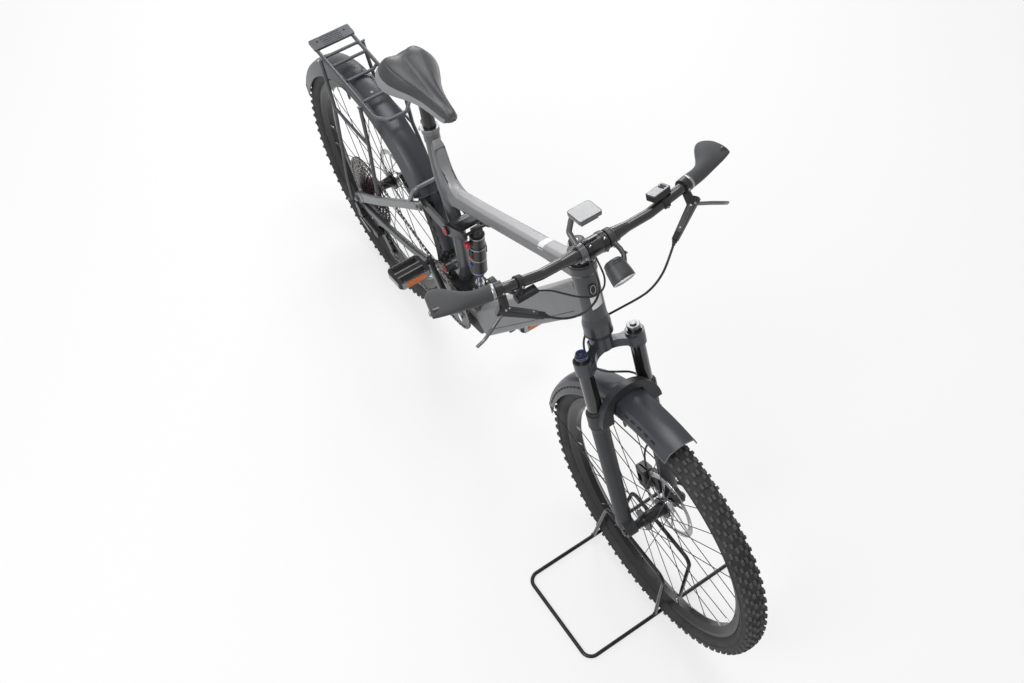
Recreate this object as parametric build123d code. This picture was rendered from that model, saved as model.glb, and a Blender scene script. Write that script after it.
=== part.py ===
from build123d import *
from math import acos, asin, atan2, cos, degrees, hypot, pi, radians, sin, sqrt, tan
import os

# Electric mountain bike on its display stand. Millimetres, X forward, Y left, Z up.
# The origin is on the floor, midway between the wheels.

# Wheels and stance
wheelbase = 1230.0
tyre_radius = 371.0
tyre_width = 60.0
tyre_seat_width = 30.0
rim_outer = 322.0
rim_seat = 318.0
rim_inner = 298.0
rim_width = 35.0
spoke_count = 28
spoke_diameter = 2.0
hub_flange_offset = 27.0
hub_flange_radius = 27.0
hub_body_radius = 14.0
rotor_radius = 90.0
rotor_thickness = 1.8
rotor_offset = 43.0
caliper_back = 80.0
caliper_rise = 40.0
pin_clearance = 0.5
seat_gap = 0.3

# Steering and fork
head_lean = 23.0
fork_offset = 50.0
leg_lead = 30.0
leg_spacing = 68.0
stanchion_radius = 17.0
leg_radius = 19.0
collar_radius = 23.0
front_hub_width = 110.0
front_axle_radius = 7.5
crown_low = 472.0
crown_top = 506.0
crown_arc_centre = 68.0
crown_arc_radius = 52.0
stanchion_top = 518.0
lowers_top = 360.0
arch_top = 413.0
steerer_radius = 15.0
steerer_base_radius = 19.0
head_low = 526.0
head_top = 712.0
head_outer_radius = 31.0
head_neck_radius = 27.0

# Cockpit
stem_reach = 70.0
bar_height = 778.0
bar_clamp_radius = 15.9
bar_radius = 11.1
grip_start = 236.0
grip_end = 352.0
lever_at = 221.0
shifter_at = 180.0
remote_at = 168.0
stem_root = (4.0, 736.0)
stem_root_radius = 17.0
stem_tip_radius = 20.0
stem_top = 756.0
bar_stations = ((0, 0, 0), (52, 0, 2), (130, 3, 9), (205, 1, 27), (350, -34, 19))

# Frame
bottom_bracket_x = 450.0
bottom_bracket_z = 352.0
down_tube_depth = 76.0
down_tube_width = 70.0
top_tube_width = 36.0
top_tube_depth = 38.0
seat_tube_radius = 18.0
seatpost_radius = 15.45
motor_half_width = 36.0
saddle_ceiling = 1002.0

# Drivetrain
crank_length = 160.0
crank_angle = 112.0
chainring_teeth = 34
cassette_teeth = (51, 45, 39, 33, 28, 24, 21, 18, 16, 14, 12)
chain_pitch = 12.7
chainring_y = -52.0
pedal_y = 143.0
pedal_width = 92.0
pedal_length = 74.0
pedal_thickness = 18.0
plate_half = 4.2
plate_inner = 1.6
plate_outer = 2.8
pin_radius = 3.0
tooth_reach = 3.2
cassette_first_y = -42.0
sprocket_step = 2.5
cassette_bore = 14.5
jockey_teeth = 12

# Rear end
rear_hub_width = 148.0
rear_axle_radius = 6.0
rack_height = 775.0
rack_half_width = 52.0
rack_tube = 5.0
rear_guard_radius = 388.0
guard_wall = 2.2
front_guard_radius = 424.5
rear_caliper_turn = 119.0
lamp_hole_x = -187.0
lamp_hole_spacing = 80.0
lamp_hole_radius = 2.75

# Stand
stand_rod = 5.0
stand_rear = 1073.0
stand_front = 1337.0
stand_half_width = 250.0
stand_loop_height = 243.0
stand_loop_y = 40.0

rear_x = -wheelbase / 2
front_x = wheelbase / 2
axle_z = tyre_radius
lean = radians(head_lean)
steer_up = Vector(-sin(lean), 0, cos(lean))
steer_forward = Vector(cos(lean), 0, sin(lean))
front_axle = Vector(front_x, 0, axle_z)
rear_axle = Vector(rear_x, 0, axle_z)
steer_base = front_axle - steer_forward * fork_offset
fork_frame = Plane(origin=steer_base, x_dir=steer_forward, z_dir=steer_up).location
bottom_bracket = Vector(rear_x + bottom_bracket_x, 0, bottom_bracket_z)
front_guard_centre = front_axle + Vector(36.8, 0, -20.8)
dropout_half = rear_hub_width / 2
hanger_outline = [(rear_x, axle_z, 17), (rear_x + 20, 392, 14), (rear_x - 24, 350, 9)]


def at(x, y, z):
    """A point measured forward from the rear axle."""
    return Vector(rear_x + x, y, z)


def fork_point(forward, y, up):
    """A point measured along and ahead of the steering axis."""
    return steer_base + steer_forward * forward + steer_up * up + Vector(0, y, 0)


down_axis_low = at(548, 0, 370)
down_axis_high = fork_point(0, 0, 626)
top_axis_low = at(404, 0, 715)
top_axis_high = fork_point(0, 0, 690)
seat_line = (at(315, 0, 866), at(340, 0, 748), at(408, 0, 590), at(424, 0, 470), at(424, 0, 402))
post_slope = seat_line[0] - seat_line[1]
post_top = seat_line[0] + post_slope * 0.88
rocker_pivot = at(418, 0, 626)
rocker_rear = at(306, 0, 617)
rocker_front = at(497, 0, 682)
main_pivot = at(392, 0, 440)
shock_low = at(498, 0, 452)
upper_jockey = at(38, cassette_first_y, 240)
lower_jockey = at(88, cassette_first_y, 190)
bar_centre = fork_point(stem_reach, 0, bar_height)
display_centre = bar_centre + Vector(-36, 0, 64)


def rod(points, radius, bend=None):
    """A round bar through the points, with every corner bent to the same radius."""
    pts = [Vector(*p) for p in points]
    if len(pts) == 2 or bend is None:
        line = Polyline(*pts) if len(pts) > 2 else Line(*pts)
    else:
        line = FilletPolyline(*pts, radius=bend)
    profile = Plane(origin=line @ 0, z_dir=line % 0) * Circle(radius)
    return sweep(profile, path=line, transition=Transition.RIGHT)


def bar(start, end, radius, end_radius=None):
    """A straight round bar or taper between two points."""
    direction = end - start
    place = Plane(origin=start, z_dir=direction).location
    half = direction.length / 2
    if end_radius is None or end_radius == radius:
        return place * Pos(0, 0, half) * Cylinder(radius, direction.length)
    return place * Pos(0, 0, half) * Cone(radius, end_radius, direction.length)


def across(centre, radius, y0, y1):
    """A cylinder along Y."""
    middle = Vector(centre.X, (y0 + y1) / 2, centre.Z)
    return Pos(middle) * Rot(90, 0, 0) * Cylinder(radius, abs(y1 - y0))


def side_plate(circles, y0, y1):
    """A plate in the XZ plane, drawn tight round circles given as (x, z, radius)."""
    plane = Plane(origin=(0, max(y0, y1), 0), x_dir=(1, 0, 0), z_dir=(0, -1, 0))
    edges = []
    for x, z, r in circles:
        edges += (Pos(x, z) * Circle(r)).edges()
    outline = make_hull(edges)
    return extrude(plane * outline, abs(y1 - y0))


# Wheels


def tyre_section():
    half = tyre_width / 2
    seat = tyre_seat_width / 2
    waist = (rim_seat + tyre_radius) / 2
    outline = [
        Line((seat, rim_seat), (seat, rim_outer + 2)),
        ThreePointArc((seat, rim_outer + 2), (half - 2, waist - 8), (half, waist + 4)),
        ThreePointArc((half, waist + 4), (half - 7, tyre_radius - 9), (half - 18, tyre_radius - 1)),
        ThreePointArc((half - 18, tyre_radius - 1), (0, tyre_radius), (18 - half, tyre_radius - 1)),
        ThreePointArc((18 - half, tyre_radius - 1), (7 - half, tyre_radius - 9), (-half, waist + 4)),
        ThreePointArc((-half, waist + 4), (2 - half, waist - 8), (-seat, rim_outer + 2)),
        Line((-seat, rim_outer + 2), (-seat, rim_seat)),
        Line((-seat, rim_seat), (seat, rim_seat)),
    ]
    return make_face(outline)


def spin(face, centre):
    """Turns a section drawn as (y, radius) round an axle."""
    section = Plane.YZ * face
    return Pos(centre) * revolve(section, Axis.Y, 360)


def rim_section():
    half = rim_width / 2
    lip = tyre_seat_width / 2
    outline = Polyline(
        (-half, rim_outer), (-lip, rim_outer), (-lip, rim_seat), (lip, rim_seat), (lip, rim_outer),
        (half, rim_outer), (half, rim_outer - 9), (8, rim_inner), (-8, rim_inner),
        (-half, rim_outer - 9), close=True,
    )
    return make_face(outline)


def spokes(centre):
    """Two crossing fans of spokes on each side, from the flange to the rim."""
    wires = []
    per_fan = spoke_count // 4
    for side in (-1, 1):
        for fan, lay in ((0, 1.7), (1, -1.7)):
            for i in range(per_fan):
                hub_angle = 2 * pi * (i + 0.25 * (side > 0)) / per_fan + fan * pi / per_fan
                swing = radians(58) * (1 if fan else -1)
                rim_angle = hub_angle + swing + radians(4) * side
                r0 = hub_flange_radius + seat_gap + 0.9
                r1 = rim_inner - seat_gap - 0.15
                y0 = side * (hub_flange_offset + lay)
                start = centre + Vector(r0 * cos(hub_angle), y0, r0 * sin(hub_angle))
                end = centre + Vector(r1 * cos(rim_angle), side * 4.0, r1 * sin(rim_angle))
                wires.append(bar(start, end, spoke_diameter / 2))
    return Compound(children=wires)


def hub(centre, width, axle_radius):
    """Shell with two flanges and a bore for the through axle."""
    flange = hub_flange_offset
    end = width / 2 - seat_gap
    outline = Polyline(
        (-end, axle_radius + pin_clearance), (-end, 10.5), (-flange - 8, 12.0), (-flange - 2.5, 14.0),
        (-flange - 2.5, hub_flange_radius), (-flange + 2.5, hub_flange_radius), (-flange + 2.5, 17.0),
        (0, hub_body_radius), (flange - 2.5, 17.0), (flange - 2.5, hub_flange_radius),
        (flange + 2.5, hub_flange_radius), (flange + 2.5, 14.0), (flange + 8, 12.0),
        (end, 10.5), (end, axle_radius + pin_clearance), close=True,
    )
    return spin(make_face(outline), centre)


def rotor(centre):
    """Brake disc with a carrier bolted against the hub flange."""
    half = rotor_thickness / 2
    ring = Circle(rotor_radius) - Circle(rotor_radius - 15)
    slots = PolarLocations(rotor_radius - 7.5, 18) * SlotOverall(10, 3.4)
    arms = Sketch()
    for i in range(6):
        arms += Rot(0, 0, 60 * i) * Pos(rotor_radius / 2, 0) * Rot(0, 0, 24) * Rectangle(rotor_radius - 6, 7)
    ring = ring - slots + (arms & Circle(rotor_radius - 4)) + Circle(24) - Circle(15)
    disc = extrude(ring, half, both=True)
    carrier_start = hub_flange_offset + 2.5
    carrier = extrude(Circle(22) - Circle(15), rotor_offset - half - carrier_start)
    turn = Pos(centre + Vector(0, rotor_offset, 0)) * Rot(-90, 0, 0)
    seat = Pos(centre + Vector(0, carrier_start, 0)) * Rot(-90, 0, 0)
    return (turn * disc) + (seat * carrier)


# Stand


def display_stand():
    """One bent rod: a rectangle on the floor and two tall loops that hold the front wheel."""
    x0 = rear_x + stand_rear
    x1 = rear_x + stand_front
    z0 = stand_rod
    floor_plane = Plane(origin=((x0 + x1) / 2, 0, z0))
    base = (floor_plane * RectangleRounded(x1 - x0, 2 * stand_half_width, 26)).face().outer_wire()
    frame = sweep(Plane(origin=base @ 0, z_dir=base % 0) * Circle(stand_rod), path=base)
    for side in (-1, 1):
        y = side * stand_loop_y
        top = stand_loop_height
        loop = [(x0, y, z0), (x0 + 40, y, top), (x1 + 2, y, top), (x1, y, z0)]
        frame += rod(loop, stand_rod, 24)
    return frame


# Fork, in the steering frame: x ahead of the steering axis, z up along it


def fork_crown():
    arms = make_hull(
        Circle(29).edges() + (Pos(leg_lead, leg_spacing) * Circle(21)).edges()
        + (Pos(leg_lead, -leg_spacing) * Circle(21)).edges()
    )
    body = Pos(0, 0, crown_low + 8) * extrude(arms, crown_top - crown_low - 14)
    body -= Pos(crown_arc_centre, 0, crown_low) * Cylinder(crown_arc_radius, 100)
    for side in (-1, 1):
        body += Pos(leg_lead, side * leg_spacing, (crown_low + crown_top) / 2) * Cylinder(
            21.5, crown_top - crown_low
        )
        body -= Pos(leg_lead - 48, side * 52, crown_low) * Cylinder(28, 120)
    body += Pos(0, 0, (crown_low + 14 + head_low - 8) / 2) * Cylinder(25, head_low - 8 - crown_low - 14)
    body += Pos(0, 0, head_low - 4 - seat_gap) * Cylinder(24, 8)
    for side in (-1, 1):
        body -= Pos(leg_lead, side * leg_spacing, 490) * Cylinder(stanchion_radius, 200)
    body += Pos(0, 0, (head_low + 40 + crown_top) / 2) * Cylinder(
        steerer_base_radius, head_low + 40 - crown_top
    )
    body += Pos(0, 0, (head_low + bar_height - 20) / 2) * Cylinder(
        steerer_radius, bar_height - 20 - head_low
    )
    return fork_frame * body


def fork_stanchions():
    tubes = []
    for side in (-1, 1):
        low = lowers_top - 40
        tube = Pos(leg_lead, side * leg_spacing, (low + stanchion_top - 8) / 2) * Cylinder(
            stanchion_radius, stanchion_top - 8 - low
        )
        cap = Pos(leg_lead, side * leg_spacing, stanchion_top - 5) * Cylinder(14.5, 10)
        tubes.append(fork_frame * (tube + cap))
    return Compound(children=tubes)


def fork_lowers():
    legs = None
    for side in (-1, 1):
        y = side * leg_spacing
        leg = Pos(leg_lead, y, 170) * Cone(leg_radius - 0.5, leg_radius + 1.5, 330)
        leg += Pos(leg_lead, y, lowers_top - 17) * Cylinder(collar_radius, 34)
        leg += Pos(leg_lead, y, lowers_top - 42) * Cone(leg_radius + 1.2, collar_radius, 16)
        foot = Plane(origin=(0, y + 15, 0), x_dir=(1, 0, 0), z_dir=(0, -1, 0)) * make_hull(
            (Pos(leg_lead - 1, 12) * Circle(17)).edges() + (Pos(fork_offset, 0) * Circle(15)).edges()
        )
        leg += extrude(foot, 30)
        legs = leg if legs is None else legs + leg
    arch_face = make_face([
        ThreePointArc((-80, 336), (0, arch_top), (80, 336)),
        Line((80, 336), (50, 336)),
        Line((50, 336), (47.5, 358)),
        Line((47.5, 358), (36, 387)),
        ThreePointArc((36, 387), (0, 391.3), (-36, 387)),
        Line((-36, 387), (-47.5, 358)),
        Line((-47.5, 358), (-50, 336)),
        Line((-50, 336), (-80, 336)),
    ])
    front_plane = Plane(origin=(leg_lead + 18, 0, 0), x_dir=(0, 1, 0), z_dir=(1, 0, 0))
    arch = extrude(front_plane * arch_face, 20)
    legs += arch
    for side in (-1, 1):
        bore = Pos(leg_lead, side * leg_spacing, lowers_top - 20) * Cylinder(stanchion_radius, 41)
        legs -= bore
    hub_space = Pos(fork_offset, 0, 0) * Rot(90, 0, 0) * Cylinder(17, front_hub_width)
    axle_hole = Pos(fork_offset, 0, 0) * Rot(90, 0, 0) * Cylinder(front_axle_radius, 400)
    legs = legs - hub_space - axle_hole
    post_low = fork_offset - caliper_back + 18 + seat_gap
    legs += Pos((post_low + 20) / 2, leg_spacing - 13, caliper_rise) * Box(20 - post_low, 16, 54)
    return fork_frame * legs


def front_axle_pin():
    body = across(front_axle, front_axle_radius, -leg_spacing - 17, leg_spacing + 16)
    head = across(front_axle, 10, leg_spacing + 15, leg_spacing + 20)
    return body + head


def caliper():
    """Brake caliper round the disc edge, drawn with the disc on the XZ plane and the slot facing +X."""
    half_gap = rotor_thickness / 2 + 1.2
    body = Pos(0, 2.5, 0) * Box(36, 29, 58)
    body = fillet(body.edges().filter_by(Axis.Z), 5)
    slot = Pos(6, 0, 0) * Box(40, half_gap * 2, 70)
    window = Pos(-4, -2, 0) * Box(14, 60, 26)
    return body - slot - window


caliper_place = Pos(-caliper_back, rotor_offset, caliper_rise)


def front_caliper():
    return fork_frame * Pos(fork_offset, 0, 0) * caliper_place * caliper()


def guard_section(crown, half_width, crown_half, sag, depth):
    """Mudguard profile drawn as (y, radius): a gently arched crown with two flared sides."""
    w = guard_wall
    lower = crown - depth
    outer = [
        Line((-half_width, lower), (-crown_half, crown - sag)),
        ThreePointArc((-crown_half, crown - sag), (0, crown), (crown_half, crown - sag)),
        Line((crown_half, crown - sag), (half_width, lower)),
        Line((half_width, lower), (half_width - w, lower)),
        Line((half_width - w, lower), (crown_half - w, crown - sag - w)),
        ThreePointArc((crown_half - w, crown - sag - w), (0, crown - w), (w - crown_half, crown - sag - w)),
        Line((w - crown_half, crown - sag - w), (w - half_width, lower)),
        Line((w - half_width, lower), (-half_width, lower)),
    ]
    return make_face(outer)


def guard(section, centre, start, end):
    """Sweeps a section round a centre, between angles measured forward from the top."""
    shell = revolve(Plane.YZ * section, Axis.Y, end - start)
    return Pos(centre) * Rot(0, start, 0) * shell


def front_mudguard():
    section = guard_section(front_guard_radius, 43, 32, 8, 35)
    return guard(section, front_guard_centre, -85, 0.5)


def mudguard_stays():
    """Thin wire stays from the tail of the front mudguard to the fork legs."""
    wires = []
    tail = front_guard_radius - 30
    a = radians(-81)
    for side in (-1, 1):
        high = front_guard_centre + Vector(tail * sin(a), side * 44.8, tail * cos(a))
        low = fork_point(leg_lead - leg_radius - 3.4, side * leg_spacing, 90)
        wires.append(bar(high, low, 1.5) + Pos(low) * Sphere(3))
    return Compound(children=wires)


# Cockpit


def stem():
    clamp = Pos(0, 0, (head_top + 4 + stem_top) / 2) * Cylinder(20, stem_top - head_top - 4)
    spacer = Pos(0, 0, head_top + 2 + seat_gap) * Cylinder(24, 4)
    cap = Pos(0, 0, stem_top + 2) * Cylinder(17, 5)
    plane = Plane(origin=(0, 20, 0), x_dir=(1, 0, 0), z_dir=(0, -1, 0))
    arm = extrude(
        plane * make_hull(
            (Pos(*stem_root) * Circle(stem_root_radius)).edges()
            + (Pos(stem_reach, bar_height) * Circle(stem_tip_radius)).edges()
        ), 40,
    )
    barrel = Pos(stem_reach, 0, bar_height) * Rot(90, 0, 0) * Cylinder(21, 48)
    body = clamp + spacer + cap + arm + barrel
    body -= Pos(stem_reach, 0, bar_height) * Rot(90, 0, 0) * Cylinder(bar_clamp_radius, 200)
    body -= Pos(0, 0, (head_low + bar_height - 20) / 2) * Cylinder(
        steerer_radius, bar_height - 20 - head_low
    )
    return fork_frame * body


def bar_point(side, y):
    """The handlebar's line on one side: a short flat middle, a rise and a backsweep."""
    for (ya, xa, za), (yb, xb, zb) in zip(bar_stations, bar_stations[1:]):
        if y <= yb:
            t = (y - ya) / (yb - ya)
            return bar_centre + Vector(xa + t * (xb - xa), side * y, za + t * (zb - za))
    return bar_centre + Vector(-34, side * y, 19)


def handlebar():
    body = across(bar_centre, bar_clamp_radius, -52, 52)
    for side in (-1, 1):
        inner, mid, outer, tip = (bar_point(side, y) for y in (52, 130, 205, 348))
        along = (mid - inner).normalized()
        path = FilletPolyline(inner - along * 8, mid, outer, tip, radius=45)
        body += sweep(Plane(origin=path @ 0, z_dir=path % 0) * Circle(bar_radius), path=path)
        body += bar(inner - along * 5, inner + (mid - inner) * 0.42, bar_clamp_radius - 0.6, bar_radius - 0.6)
    return body


handlebar_shape = handlebar()


def grip(side):
    """Wing grip: round at the inner end, a wide flat palm rest at the outer end."""
    direction = bar_point(side, 350) - bar_point(side, 205)
    sections = []
    shapes = ((grip_start, 16, 16, 0), (grip_start + 45, 18, 17, -1), (grip_end - 42, 30, 16, -13),
              (grip_end - 18, 36, 14, -20), (grip_end, 28, 11, -15))
    for y, rx, rz, back in shapes:
        plane = Plane(origin=bar_point(side, y), x_dir=(1, 0, 0.18), z_dir=direction)
        sections.append(plane * (Pos(back, 0) * Ellipse(rx, rz)))
    body = loft(sections)
    return body - handlebar_shape


def hose_way(side):
    """The way a brake hose leaves its lever."""
    return Vector(0.53, -0.74 * side, -0.4).normalized()


def reservoir_end(side):
    return bar_point(side, lever_at) + Vector(60, -side * 62, -66)


def brake_lever(side):
    """Bar clamp, lever body and slanted reservoir."""
    clamp_at = bar_point(side, lever_at)
    direction = bar_point(side, 240) - bar_point(side, 212)
    ring = Plane(origin=clamp_at - direction.normalized() * 7, z_dir=direction).location
    body = ring * Pos(0, 0, 7) * Cylinder(16.5, 14)
    neck_end = clamp_at + Vector(26, side * 4, -34)
    body += bar(clamp_at + Vector(8, 0, -10), neck_end, 9, 10)
    reservoir = loft([
        Plane(origin=neck_end + Vector(-6, side * 14, 5), x_dir=(1, 0, 0), z_dir=hose_way(side))
        * RectangleRounded(19, 21, 6),
        Plane(origin=reservoir_end(side), x_dir=(1, 0, 0), z_dir=hose_way(side))
        * RectangleRounded(13, 15, 5),
    ])
    body += reservoir
    return body - handlebar_shape


def lever_blade(side):
    """Two-finger lever with a hooked tip."""
    pivot = bar_point(side, lever_at) + Vector(26, side * 4, -34)
    knots = [pivot + Vector(4, side * 11, -2), pivot + Vector(16, side * 40, -8),
             pivot + Vector(24, side * 63, -16), pivot + Vector(22, side * 79, -29)]
    path = FilletPolyline(*knots, radius=16)
    plane = Plane(origin=path @ 0, x_dir=(0, 0, 1), z_dir=path % 0)
    blade = sweep(plane * RectangleRounded(8.5, 5.5, 2.2), path=path)
    return blade - brake_lever(side)


def shifter_pod():
    return bar_point(-1, shifter_at) + Vector(13, 8, -28)


cable_way = Vector(0.25, 0.92, -0.3).normalized()


def cable_exit():
    """Where the gear cable leaves the barrel of the shifter."""
    return shifter_pod() + Vector(6, 24, -2)


def shifter():
    """Bar clamp, pod below the bar and a thumb lever."""
    centre = bar_point(-1, shifter_at)
    along = (bar_point(-1, 190) - bar_point(-1, 170)).normalized()
    body = bar(centre - along * 6, centre + along * 6, 15)
    pod = Pos(shifter_pod()) * Box(19, 46, 14)
    body += fillet(pod.edges().filter_by(Axis.Y), 5)
    body += bar(centre + Vector(2, 0, -9), shifter_pod() + Vector(0, -8, 2), 7)
    body += bar(shifter_pod() + Vector(-6, -8, -3), shifter_pod() + Vector(-34, -18, -14), 4, 5)
    body += bar(cable_exit() - cable_way * 14, cable_exit(), 4)
    return body - handlebar_shape


def drive_remote():
    """Bar clamp and a small tilted keypad above the bar."""
    centre = bar_point(1, remote_at)
    along = (bar_point(1, 180) - bar_point(1, 160)).normalized()
    body = bar(centre - along * 6, centre + along * 6, 14.5)
    pad = Box(26, 48, 13)
    pad = fillet(pad.edges().filter_by(Axis.Z), 4)
    body += Pos(centre + Vector(-10, -9, 23)) * Rot(0, -22, 10) * pad
    body += bar(centre, centre + Vector(-9, -2, 19), 8)
    return body - handlebar_shape


def display():
    """Square screen on a curved arm clamped beside the stem."""
    screen = Box(47, 54, 8)
    screen = fillet(screen.edges().filter_by(Axis.Z), 6)
    screen = Pos(display_centre) * Rot(0, -14, 0) * screen
    under = Pos(display_centre + Vector(1, 0, -9)) * Rot(0, -14, 0) * Box(34, 40, 10)
    clamp = across(bar_centre, 20, -40, -26)
    arm = rod([
        bar_centre + Vector(-10, -33, 10), bar_centre + Vector(-40, -33, 24),
        display_centre + Vector(-14, -20, -14), display_centre + Vector(-4, -6, -11),
    ], 6, 9)
    return screen + under + clamp + arm - handlebar_shape


def headlight():
    """Turned lamp barrel with a lens rim, carried ahead of the stem by an arm from the bar."""
    start = bar_centre + Vector(56, 0, 8)
    outline = make_face(Polyline(
        (0, 0), (0, 17), (6, 22), (36, 25), (46, 25), (46, 22), (42, 21), (42, 0), close=True,
    ))
    barrel = revolve(Plane.XZ * outline, Axis.X, 360)
    bracket = across(bar_centre, 20, 28, 42)
    bends = [bar_centre + Vector(16, 35, 2), bar_centre + Vector(62, 35, 4), start + Vector(22, 10, 0)]
    arm = rod(bends, 5, 8)
    return Pos(start) * barrel + bracket + arm - handlebar_shape


def cord(points, radius):
    """A hose along straight runs joined by arcs as large as the runs allow."""
    pts = [Vector(*p) for p in points]
    radii = []
    for a, b, c in zip(pts, pts[1:], pts[2:]):
        before = b - a
        after = c - b
        turn = before.get_angle(after)
        short = min(before.length, after.length)
        radii.append(0.45 * short / tan(radians(turn / 2)))
    path = FilletPolyline(*pts, radius=radii)
    return sweep(Plane(origin=path @ 0, z_dir=path % 0) * Circle(radius), path=path)


# Frame


def main_piece(shape):
    """Leaves out what a cut has parted from the largest solid."""
    return shape.solids().sort_by(SortBy.VOLUME)[-1]


def tube_frame(start, end):
    direction = (end - start).normalized()
    return Plane(origin=start, x_dir=Vector(0, 1, 0), z_dir=direction)


def head_outline():
    """The head tube's outer form, with a wider cup at each end."""
    profile = make_face(Polyline(
        (0, head_low), (head_outer_radius, head_low), (head_outer_radius, head_low + 30),
        (head_neck_radius, head_low + 46), (head_neck_radius, head_top - 28),
        (head_neck_radius + 3, head_top - 22), (head_neck_radius + 3, head_top), (0, head_top), close=True,
    ))
    return fork_frame * revolve(Plane.XZ * profile, Axis.Z, 360)


def head_tube():
    middle = (head_low + head_top) / 2
    bore = Pos(0, 0, middle) * Cylinder(steerer_radius + pin_clearance, head_top - head_low + 2)
    bore += Pos(0, 0, head_low + 20) * Cylinder(steerer_base_radius + pin_clearance, 42)
    return head_outline() - fork_frame * bore


def down_tube():
    low = tube_frame(down_axis_low, down_axis_high)
    length = (down_axis_high - down_axis_low).length
    sections = []
    for t, w, d, r in ((0, 76, 84, 16), (0.5, down_tube_width, down_tube_depth, 16), (1.0, 50, 80, 12)):
        sections.append(low.offset(t * length) * RectangleRounded(w, d, r))
    return main_piece(loft(sections, ruled=True) - head_outline())


def top_tube():
    low = tube_frame(top_axis_low, top_axis_high)
    length = (top_axis_high - top_axis_low).length
    sections = []
    for t, w, d in ((0, 34, 50), (0.25, 36, 40), (0.75, 38, 38), (1.0, 44, 48)):
        sections.append(low.offset(t * length) * RectangleRounded(w, d, 12))
    return main_piece(loft(sections, ruled=True) - head_outline() - down_tube())


def seat_tube():
    path = FilletPolyline(*seat_line, radius=60)
    body = sweep(Plane(origin=path @ 0, z_dir=path % 0) * Circle(seat_tube_radius), path=path)
    web = Plane(origin=(0, 14, 0), x_dir=(1, 0, 0), z_dir=(0, -1, 0)) * make_face([
        Line((at(352, 0, 0).X, 790), (at(352, 0, 0).X, 700)),
        Line((at(352, 0, 0).X, 700), (at(412, 0, 0).X, 690)),
        Line((at(412, 0, 0).X, 690), (at(440, 0, 0).X, 745)),
        ThreePointArc((at(440, 0, 0).X, 745), (at(392, 0, 0).X, 770), (at(352, 0, 0).X, 840)),
        Line((at(352, 0, 0).X, 840), (at(352, 0, 0).X, 790)),
    ])
    body += extrude(web, 28)
    body += bar(seat_line[0], seat_line[0] - post_slope * 0.2, seat_tube_radius + 2)
    body += across(rocker_pivot, 15, -28, 28)
    body += across(main_pivot, 17, -22, 22)
    body += side_plate([(main_pivot.X, main_pivot.Z, 15), (rear_x + 424, 430, 17)], -16, 16)
    body -= bar(seat_line[1], seat_line[1] + post_slope * 1.1, seatpost_radius)
    body = body - top_tube()
    for pivot_at in (rocker_pivot, main_pivot):
        body -= across(pivot_at, 6, -60, 60)
    return body


def motor():
    """Drive unit, one closed casing at its real place under the down tube."""
    body = side_plate([
        (bottom_bracket.X, bottom_bracket.Z, 58), (rear_x + 530, 392, 46), (rear_x + 528, 350, 34),
        (rear_x + 430, 372, 40),
    ], -motor_half_width, motor_half_width)
    body -= across(bottom_bracket, 12 + pin_clearance, -60, 60)
    mount = side_plate([(shock_low.X, shock_low.Z, 12), (rear_x + 492, 420, 26)], -16, 16)
    body += mount
    body -= Pos(shock_low) * Box(60, 20.6, 40)
    body -= across(shock_low, 4, -40, 40)
    body -= down_tube()
    body -= seat_tube()
    return body


def rocker_link():
    """Two plates tied by a bridge, pivoting on the seat tube."""
    plates = None
    for side in (-1, 1):
        y0 = side * 32
        y1 = side * 40
        plate = side_plate([
            (rocker_rear.X, rocker_rear.Z, 13), (rocker_pivot.X, rocker_pivot.Z, 17)], y0, y1)
        plate += side_plate([
            (rocker_pivot.X, rocker_pivot.Z, 17), (rocker_front.X, rocker_front.Z, 11)], y0, y1)
        boss = across(rocker_pivot, 12, side * (28 + seat_gap), side * 44)
        plate = plate + boss
        plates = plate if plates is None else plates + plate
    plates += side_plate([(rear_x + 452, 666, 8), (rear_x + 468, 674, 8)], -33, 33)
    plates -= across(rocker_pivot, 6, -60, 60)
    plates += across(rocker_pivot, 6, -46, 46)
    plates += across(rocker_front, 4, -40, 40)
    plates -= across(rocker_rear, 5, -60, 60)
    return plates


def shock_body():
    axis_dir = (rocker_front - shock_low).normalized()
    eye = across(rocker_front, 10, -12, 12)
    neck = bar(rocker_front - axis_dir * 4, rocker_front - axis_dir * 20, 8, 14)
    can = bar(rocker_front - axis_dir * 18, rocker_front - axis_dir * 62, 19)
    sleeve = bar(rocker_front - axis_dir * 60, rocker_front - axis_dir * 158, 21)
    knob_at = rocker_front - axis_dir * 40
    knob = across(knob_at, 8, -18, -32)
    body = eye + neck + can + sleeve + knob
    body -= across(rocker_front, 4, -40, 40)
    shaft_hole = bar(rocker_front - axis_dir * 100, rocker_front - axis_dir * 170, 7)
    return body - shaft_hole


def shock_shaft():
    axis_dir = (rocker_front - shock_low).normalized()
    shaft = bar(shock_low + axis_dir * 8, rocker_front - axis_dir * 110, 7)
    foot = bar(shock_low + axis_dir * 3, shock_low + axis_dir * 16, 8, 12)
    eye = across(shock_low, 10, -10, 10)
    body = shaft + foot + eye
    body -= across(shock_low, 4, -40, 40)
    return body + across(shock_low, 4, -22, 22)


def stay_run(points, sizes):
    """A stay lofted through sections given as (width across, height)."""
    sections = []
    for i, (point, (wide, tall)) in enumerate(zip(points, sizes)):
        before = points[max(i - 1, 0)]
        after = points[min(i + 1, len(points) - 1)]
        plane = Plane(origin=point, x_dir=Vector(0, 1, 0) - (after - before) * (
            (after - before).Y / (after - before).length ** 2), z_dir=after - before)
        sections.append(plane * RectangleRounded(wide, tall, min(wide, tall) * 0.3))
    return loft(sections, ruled=True)


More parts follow.
